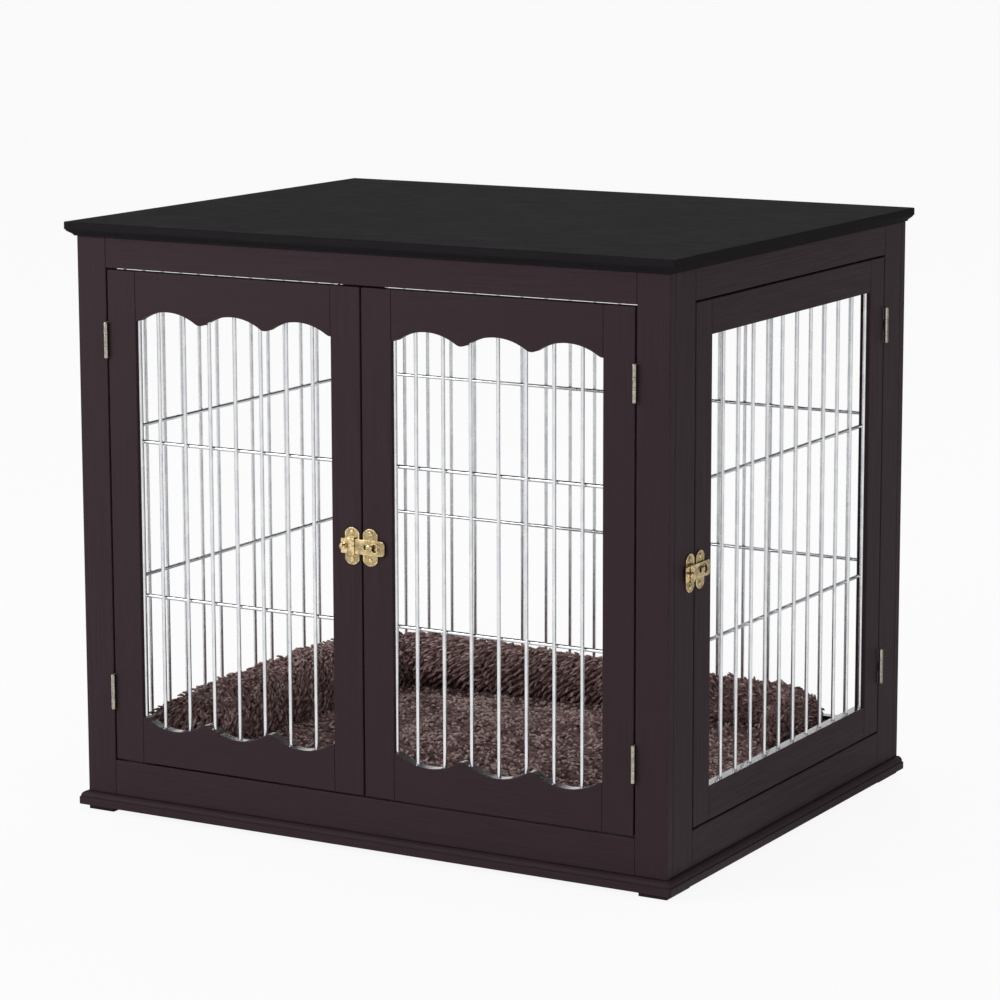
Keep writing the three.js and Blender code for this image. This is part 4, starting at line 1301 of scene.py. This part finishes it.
def pad_rings(shrink):
    half_x = (bed_right - bed_left) / 2 - shrink
    half_y = (bed_back - bed_front) / 2 - shrink
    centre_x, centre_y = (bed_left + bed_right) / 2, (bed_front + bed_back) / 2
    levels = [
        (16, 0.0), (8, 0.03), (3, 0.15), (0.5, 0.34), (0, 0.5), (1, 0.66), (4, 0.82), (9, 0.93), (16, 0.99),
        (60, 1.02), (116, 1.02), (126, 1.12), (140, 1.19), (164, 1.22), (228, 1.235),
    ]
    rings = []
    for inset, share in levels:
        ring = []
        for index in range(96):
            angle = (index + 0.5) * 2 * math.pi / 96
            cosine, sine = math.cos(angle), math.sin(angle)
            pull = 1 - 0.012 * math.cos(2 * angle) ** 2
            x = (half_x - inset * mm) * pull * math.copysign(abs(cosine) ** 0.25, cosine)
            y = (half_y - inset * mm) * pull * math.copysign(abs(sine) ** 0.25, sine)
            height = pad_low.z + shrink * 0.3 + share * (pad_edge_height - shrink)
            ring.append((centre_x + x, centre_y + y, height))
        rings.append(ring)
    return rings


def bolster_path():
    """The C of the bolster's middle line as points a few millimetres apart, from the left front."""
    left = bed_left + bolster_inset + bolster_width / 2
    back = bed_back - bolster_inset - bolster_width / 2
    right = bed_right - bolster_inset - short_arm_width / 2
    points = [Vector((left, bed_front + bolster_inset))]
    for x, radius, start, end in (
        (left + left_corner_radius, left_corner_radius, math.pi, math.pi / 2),
        (right - right_corner_radius, right_corner_radius, math.pi / 2, 0),
    ):
        points += [Vector(place) for place in arc(x, back - radius, radius, start, end, 16)]
    points.append(Vector((right, bed_back - short_arm_length)))
    lengths = [0.0]
    for first, second in zip(points, points[1:]):
        lengths.append(lengths[-1] + (second - first).length)
    return points, lengths


def point_at(points, lengths, distance):
    """The point and the direction at a distance along the path."""
    distance = min(max(distance, 0), lengths[-1])
    index = max(i for i, length in enumerate(lengths[:-1]) if length <= distance)
    step = points[index + 1] - points[index]
    share = (distance - lengths[index]) / max(1e-9, step.length)
    return points[index] + step * share, step.normalized()


def smooth_step(value, low, high):
    share = min(1, max(0, (value - low) / (high - low)))
    return share * share * (3 - 2 * share)


def roll_section(total, distance):
    """The half width and the height of the roll, which narrows along the back into the short arm."""
    narrowing = smooth_step(distance, total - narrowing_start, total - narrowing_end)
    half = (bolster_width * (1 - narrowing) + short_arm_width * narrowing) / 2
    return half, bolster_height * (1 - narrowing) + short_arm_height * narrowing


def bolster_rings(shrink):
    points, lengths = bolster_path()
    total = lengths[-1]
    floor = roll_low.z + shrink * 0.3
    rings = []
    steps = 150
    for step in range(steps + 1):
        even = 0.5 - 0.5 * math.cos(math.pi * step / steps)
        distance = total * (0.35 * even + 0.65 * step / steps)
        point, direction = point_at(points, lengths, distance)
        half, height = roll_section(total, distance)
        from_end = min(distance, total - distance)
        roundness = min(1, (from_end + 1 * mm) / half)
        swell = math.sqrt(1 - (1 - roundness) ** 2)
        ring = []
        for side in range(32):
            angle = side * 2 * math.pi / 32
            across = (half - shrink) * swell * math.cos(angle)
            lift = max(0.02, bolster_middle + (1 - bolster_middle) * math.sin(angle))
            rise = (height - shrink) * swell * lift
            ring.append((point.x - direction.y * across, point.y + direction.x * across, floor + rise))
        rings.append(ring)
    return rings


# %% Cloth
def stuffed(name, rings, voxel, swell):
    """Remeshes a skin, blows it up gently as cloth, caps the move and returns the piece's mesh."""
    body = bpy.data.objects.new(name, skin(rings))
    bpy.context.scene.collection.objects.link(body)
    remesh = body.modifiers.new("remesh", "REMESH")
    remesh.mode = "VOXEL"
    remesh.voxel_size = voxel
    bpy.context.view_layer.update()
    evaluated = body.evaluated_get(bpy.context.evaluated_depsgraph_get())
    mesh = bpy.data.meshes.new_from_object(evaluated)
    body.modifiers.clear()
    body.data = mesh
    start = [vertex.co.copy() for vertex in mesh.vertices]
    cloth = body.modifiers.new("cloth", "CLOTH")
    cloth.settings.use_pressure = True
    cloth.settings.uniform_pressure_force = 4
    cloth.settings.quality = 4
    cloth.settings.effector_weights.gravity = 0
    scene = bpy.context.scene
    for current in range(1, 21):
        scene.frame_set(current)
    evaluated = body.evaluated_get(bpy.context.evaluated_depsgraph_get())
    blown = bpy.data.meshes.new_from_object(evaluated)
    body.modifiers.clear()
    farthest = 0
    for vertex, before in zip(blown.vertices, start):
        move = vertex.co - before
        farthest = max(farthest, move.length)
        if move.length > swell:
            vertex.co = before + move.normalized() * swell
    body.data = blown
    scene.frame_set(1)
    print(name, "farthest move in mm:", round(farthest / mm, 1))
    mesh = body.data.copy()
    bpy.data.objects.remove(body)
    return mesh


pad_mesh = stuffed("bed_pad_plush", pad_rings(5 * mm), 5 * mm, 7 * mm)
bolster_mesh = stuffed("bed_bolster_plush", bolster_rings(5 * mm), 4 * mm, 7 * mm)
print("pad and bolster vertices:", len(pad_mesh.vertices), len(bolster_mesh.vertices))

# %% [markdown]
# ### The lay of the pile
#
# On the bolster the pile is brushed into slanted locks that wind round the roll like the strands of a
# rope, and they lie level on the short arm. Each point of the roll needs two numbers for that: how far
# it lies along the roll, and how far round it, counted from the side that faces the sleeper.

# %% Lay of the pile
def lay_on_roll(places):
    """Along the roll, across it (outwards), round it, and its direction, for an array of points."""
    points, lengths = bolster_path()
    total = lengths[-1]
    nearest = np.full(len(places), 1e9)
    along = np.zeros(len(places))
    across = np.zeros(len(places))
    direction = np.zeros((len(places), 2))
    for first, second, before in zip(points, points[1:], lengths):
        start = np.array(first)
        step = np.array(second) - start
        length = np.linalg.norm(step)
        if length < 1e-9:
            continue
        share = np.clip((places[:, :2] - start) @ step / length ** 2, 0, 1)
        away = places[:, :2] - (start + share[:, None] * step)
        distance = np.linalg.norm(away, axis=1)
        closer = distance < nearest
        side = np.sign(step[0] * away[:, 1] - step[1] * away[:, 0])
        nearest[closer] = distance[closer]
        along[closer] = (before + share * length)[closer]
        across[closer] = (distance * side)[closer]
        direction[closer] = step / length
    sections = np.array([roll_section(total, value) for value in along])
    rise = places[:, 2] - roll_low.z - bolster_middle * sections[:, 1]
    angle = np.arctan2(rise / sections[:, 1] * 2, -across / sections[:, 0])
    return along, across, angle * 36 * mm, direction, total


ridge_pitch = 7.8 * mm
lock_length = 20 * mm


def locks(along, around, place, total):
    """Slanted ridges, each cut into staggered locks; from 0 in the furrows to 1 on the locks."""
    level = smooth_step(along, total - 260 * mm, total - 120 * mm)
    slant = math.radians(50) * (1 - level) + math.radians(7) * level
    warp = noise.noise(place * 26) * 6 * mm + noise.noise(place * 80) * 1.6 * mm
    over = (along * math.sin(slant) - around * math.cos(slant) + warp) / (ridge_pitch * (1 - 0.3 * level))
    ridge = 1 - (2 * (over % 1) - 1) ** 2
    down = (along * math.cos(slant) + around * math.sin(slant)) / lock_length + math.floor(over) * 0.37
    lock = 1 - (2 * (down % 1) - 1) ** 4
    return ridge * (0.62 + 0.38 * lock)


def curls_of(place, size):
    """Winding curls from warped, ridged noise."""
    warped = place + noise.noise_vector(place * 60) * 0.005
    first = 1 - abs(noise.noise(warped * size)) * 2.8
    second = 1 - abs(noise.noise(warped * size * 1.7 + Vector((3, 1, 2)))) * 2.4
    return min(1, max(0, 0.6 * first + 0.4 * second))


# %% [markdown]
# ### Pile
#
# Curly pile isn't a bump map: from a step away its locks are 4 to 6 mm wide and cast shadows on each
# other. The stuffed meshes are subdivided, every point is pushed out by the height of its curl, and the
# height is kept as the attribute pile. The pad also gets the low lumps that lying on it has left.

# %% Pile
# The pad's pile is scaled lighter and the roll's darker on one material: painted light on the pad, painted shade on
# the roll.
pad_tone_with_painted_light, roll_tone_with_painted_shade = 0.94, 0.67


def pad_pile(places):
    heights = []
    for place in places:
        point = Vector(place)
        lump = noise.noise(point * 13) * 0.5 + noise.noise(point * 27) * 0.35
        heights.append(0.8 * curls_of(point, 190) + 0.2 * max(0, lump) + 0.16 * lump)
    return heights


def roll_pile(places):
    along, across, around, direction, total = lay_on_roll(np.array(places))
    heights = []
    for index, place in enumerate(places):
        point = Vector(place)
        rope = locks(along[index], around[index], point, total)
        ragged = 0.5 + 0.5 * noise.noise(point * 22)
        share = 0.72 + 0.26 * ragged
        heights.append(share * rope + (1 - share) * curls_of(point, 210))
    return heights


def add_plush(name, mesh, node, depth, tone, pile_of, low_z):
    piece = show(name, mesh, [plush], "bed_plush", Matrix.Identity(4), node)
    smooth = piece.modifiers.new("smooth", "SMOOTH")
    smooth.iterations = 5
    finer = piece.modifiers.new("finer", "SUBSURF")
    finer.levels = 1
    finer.render_levels = 1
    evaluated = piece.evaluated_get(bpy.context.evaluated_depsgraph_get())
    fine = bpy.data.meshes.new_from_object(evaluated)
    piece.modifiers.clear()
    old = piece.data
    piece.data = fine
    bpy.data.meshes.remove(old)
    heights = pile_of([vertex.co[:] for vertex in fine.vertices])
    normals = [vertex.normal.copy() for vertex in fine.vertices]
    for vertex, normal, height in zip(fine.vertices, normals, heights):
        vertex.co += normal * depth * (height - 0.6)
        vertex.co.z = max(vertex.co.z, low_z)
    # The colour level written here is the pile height times the cover's tone, so it carries the painted shade of the
    # furrows and the painted light of the pad.
    attribute = fine.attributes.new("pile", "FLOAT", "POINT")
    attribute.data.foreach_set("value", [tone * min(1, max(0, height)) for height in heights])
    for polygon in fine.polygons:
        polygon.use_smooth = True
    print(name, "faces:", len(fine.polygons))
    return piece, heights


pad_cover = add_plush("bed_pad_plush", pad_mesh, "bed_pad", 5 * mm, pad_tone_with_painted_light, pad_pile, pad_low.z)
bolster_cover = add_plush(
    "bed_bolster_plush", bolster_mesh, "bed_bolster", 8 * mm, roll_tone_with_painted_shade, roll_pile, roll_low.z)

# %% [markdown]
# ### Loose curls
#
# The outline of plush is never clean, because single locks stand out of it and fall over. A hair system
# would draw them, but it can't be handed on as a mesh. So some thousand locks are built, each a thin
# three-sided cone that rises from the cover, bends over and ends a little above it. They grow mostly on
# the high parts of the pile, and the furrows stay open and dark. Each lock is painted darker at its root
# and lighter towards its tip, and locks on higher places are painted lighter: painted shade and highlight.

# %% Loose curls
def add_loose_curls(name, cover, node, count, seed, lay_of, keep, lengths, radii, lowest_root,
                    curl_tone_with_painted_light):
    """Curved cones on random high places of a cover, leaning along its lay."""
    chance = random.Random(seed)
    source, pile = cover
    faces = source.data.polygons
    rises = [sum(pile[index] for index in face.vertices) / len(face.vertices) for face in faces]
    weights = [face.area * max(0.02, rise - lowest_root) for face, rise in zip(faces, rises)]
    chosen = chance.choices(range(len(faces)), weights=weights, k=count)
    chosen = [index for index in chosen if faces[index].normal.z > -0.35 and keep(faces[index].center)]
    mean_rise = sum(rises[index] for index in chosen) / len(chosen)
    leans = lay_of(np.array([faces[index].center[:] for index in chosen]), chance)
    points, quads, heights = [], [], []
    for index, lean in zip(chosen, leans):
        face = faces[index]
        up = face.normal
        along = (lean - up * lean.dot(up)).normalized()
        side = up.cross(along)
        length = chance.uniform(*lengths) * mm
        radius = chance.uniform(*radii) * mm
        lift = radius * 0.85 + chance.uniform(0.0, 0.7) * mm
        bend = chance.uniform(-0.3, 0.3)
        # Locks on higher places of the pile get a lighter colour, which is painted light; the random part is the
        # plush's own tone.
        tone = curl_tone_with_painted_light + (rises[index] - mean_rise) * 1.1 + chance.uniform(-0.2, 0.16)
        # The third number of each spine point is its colour level: low at the root as painted shade, high near the tip
        # as painted highlight.
        spine = [
            (face.center - up * 0.8 * mm, 0.9, 0.3),
            (face.center + up * lift + along * length * 0.25, 1.0, 0.62),
            (face.center + up * lift + (along + side * bend) * length * 0.82, 0.9, 0.86),
            (face.center + up * lift * 0.45 + (along + side * bend * 1.3) * length, 0.0, 0.8),
        ]
        base = len(points)
        for place, width, height in spine[:3]:
            for turn in (0.5, 2.6, 4.7):
                points.append(place + (side * math.cos(turn) + up * math.sin(turn)) * radius * width)
                heights.append(min(1, max(0, height + tone)))
        points.append(spine[3][0])
        heights.append(min(1, max(0, spine[3][2] + tone)))
        for ring in (0, 3):
            for corner in range(3):
                after = (corner + 1) % 3
                low, high = base + ring, base + ring + 3
                quads.append((low + corner, low + after, high + after, high + corner))
        for corner in range(3):
            quads.append((base + 6 + corner, base + 6 + (corner + 1) % 3, base + 9))
    mesh = bpy.data.meshes.new(name)
    mesh.from_pydata([point[:] for point in points], [], quads)
    attribute = mesh.attributes.new("pile", "FLOAT", "POINT")
    attribute.data.foreach_set("value", heights)
    for polygon in mesh.polygons:
        polygon.use_smooth = True
    show(name, mesh, [plush], "bed_plush", Matrix.Identity(4), node)
    print(name, "locks:", len(chosen), "faces:", len(mesh.polygons))


def pad_lay(places, chance):
    return [Vector((chance.uniform(-1, 1), chance.uniform(-1, 1), chance.uniform(-0.3, 0.1))) for _ in places]


def roll_lay(places, chance):
    along, across, around, direction, total = lay_on_roll(places)
    leans = []
    for index in range(len(places)):
        forwards = Vector((*direction[index], 0))
        level = smooth_step(along[index], total - 260 * mm, total - 120 * mm)
        down = 1.0 * (1 - level) + 0.15 * level
        stray = Vector((chance.uniform(-1, 1), chance.uniform(-1, 1), chance.uniform(-1, 1))) * 0.14
        leans.append(-forwards * 0.9 + Vector((0, 0, -down)) + stray)
    return leans


def outside_roll(place):
    """True where the pad isn't covered by the roll."""
    along, across, around, direction, total = lay_on_roll(np.array([place[:]]))
    return abs(across[0]) > roll_section(total, along[0])[0] - 8 * mm


# The pad's curls are lifted lighter and the roll's kept darker: painted light and painted shade.
add_loose_curls("bed_pad_curls", pad_cover, "bed_pad", 12000, 11, pad_lay, outside_roll, (4.0, 6.5), (1.2, 1.8), 0.3,
                0.3)
add_loose_curls(
    "bed_bolster_curls", bolster_cover, "bed_bolster", 11000, 12, roll_lay, lambda place: True, (6, 9.5), (1.15, 1.65),
    0.5, -0.05,
)

# %% [markdown]
# ## Floor and light
#
# A plain pale floor and a white surround. The camera sees white, while the light that falls on the object
# comes mostly from three large soft lamps, at a level where a colour renders about as it is written. The
# floor is drawn nearly white for the camera but keeps a soft shadow. Bright metal before white looks like
# paper, so photographers stand dark flags to the left and right of it: the wires mirror them and get dark
# edges round a bright middle.

# %% Flags
def between_flags(tree, direction):
    """1 towards the camera's side and behind the object, and less on both sides, where the flags stand."""
    towards = add_node(tree, "ShaderNodeVectorMath", operation="DOT_PRODUCT")
    towards.inputs[1].default_value = (math.sin(camera_azimuth), -math.cos(camera_azimuth), 0)
    tree.links.new(direction, towards.inputs[0])
    before = remap(tree, towards.outputs["Value"], 0.1, 0.75, flag_level, 1.0)
    behind = remap(tree, towards.outputs["Value"], -0.95, -0.6, 1.0, flag_level)
    return maths(tree, "MAXIMUM", before, behind)


flag_level = 0.14

# %% Floor
floor_mesh = bpy.data.meshes.new("floor")
reach = 90
floor_mesh.from_pydata(
    [(-reach, -reach, 0), (reach, -reach, 0), (reach, reach, 0), (-reach, reach, 0)], [], [(0, 1, 2, 3)],
)
floor = bpy.data.objects.new("floor", floor_mesh)
bpy.context.scene.collection.objects.link(floor)
floor.location.z = -0.0002
floor_material = bpy.data.materials.new("pale floor")
floor_material.use_nodes = True
tree = floor_material.node_tree
tree.nodes.clear()
diffuse = add_node(tree, "ShaderNodeBsdfDiffuse", {"Color": (0.86, 0.86, 0.86, 1)})
glow = add_node(tree, "ShaderNodeEmission", {"Color": (1, 1, 1, 1), "Strength": 1.0})
path = add_node(tree, "ShaderNodeLightPath")
where = add_node(tree, "ShaderNodeNewGeometry")
outwards = add_node(tree, "ShaderNodeVectorMath", operation="NORMALIZE")
connect(tree, (where.outputs["Position"], outwards.inputs[0]))
mirrored_floor = maths(tree, "MULTIPLY", path.outputs["Is Glossy Ray"], between_flags(tree, outwards.outputs[0]))
seen = maths(tree, "MAXIMUM", path.outputs["Is Camera Ray"], mirrored_floor)
seen = maths(tree, "MULTIPLY", seen, 0.91)
mixed = add_node(tree, "ShaderNodeMixShader")
output = add_node(tree, "ShaderNodeOutputMaterial")
connect(
    tree,
    (seen, mixed.inputs[0]),
    (diffuse.outputs[0], mixed.inputs[1]),
    (glow.outputs[0], mixed.inputs[2]),
    (mixed.outputs[0], output.inputs[0]),
)
floor_mesh.materials.append(floor_material)

# %% Surround
world = bpy.data.worlds.new("surround")
bpy.context.scene.world = world
world.use_nodes = True
tree = world.node_tree
tree.nodes.clear()
path = add_node(tree, "ShaderNodeLightPath")
room = add_node(tree, "ShaderNodeBackground", {"Color": (1, 1, 1, 1), "Strength": 0.55})
white = add_node(tree, "ShaderNodeBackground", {"Color": (1, 1, 1, 1), "Strength": 1.0})
mirrored = add_node(tree, "ShaderNodeBackground", {"Color": (1, 1, 1, 1)})
direction = add_node(tree, "ShaderNodeTexCoord")
parts = add_node(tree, "ShaderNodeSeparateXYZ")
for_gloss = add_node(tree, "ShaderNodeMixShader")
for_camera = add_node(tree, "ShaderNodeMixShader")
output = add_node(tree, "ShaderNodeOutputWorld")
connect(tree, (direction.outputs["Generated"], parts.inputs[0]))
ceiling = remap(tree, parts.outputs["Z"], 0.2, 0.42, 1.0, 0.1)
walls = maths(tree, "MULTIPLY", ceiling, between_flags(tree, direction.outputs["Generated"]))
connect(
    tree,
    (walls, mirrored.inputs["Strength"]),
    (path.outputs["Is Glossy Ray"], for_gloss.inputs[0]),
    (room.outputs[0], for_gloss.inputs[1]),
    (mirrored.outputs[0], for_gloss.inputs[2]),
    (path.outputs["Is Camera Ray"], for_camera.inputs[0]),
    (for_gloss.outputs[0], for_camera.inputs[1]),
    (white.outputs[0], for_camera.inputs[2]),
    (for_camera.outputs[0], output.inputs[0]),
)


# %% Lamps
def add_lamp(name, place, target, size, power):
    data = bpy.data.lights.new(name, "AREA")
    data.shape = "SQUARE"
    data.size = size
    data.energy = power
    lamp = bpy.data.objects.new(name, data)
    lamp.location = place
    lamp.rotation_mode = "QUATERNION"
    lamp.rotation_quaternion = (Vector(target) - Vector(place)).to_track_quat("-Z", "Y")
    bpy.context.scene.collection.objects.link(lamp)


centre = (0, 0, 0.3)
add_lamp("key", (-1.7, -2.2, 1.5), centre, 1.4, 38)
add_lamp("side", (3.4, 0.4, 1.8), centre, 2.0, 6)
add_lamp("back", (-0.5, 2.3, 3.4), centre, 2.0, 28)
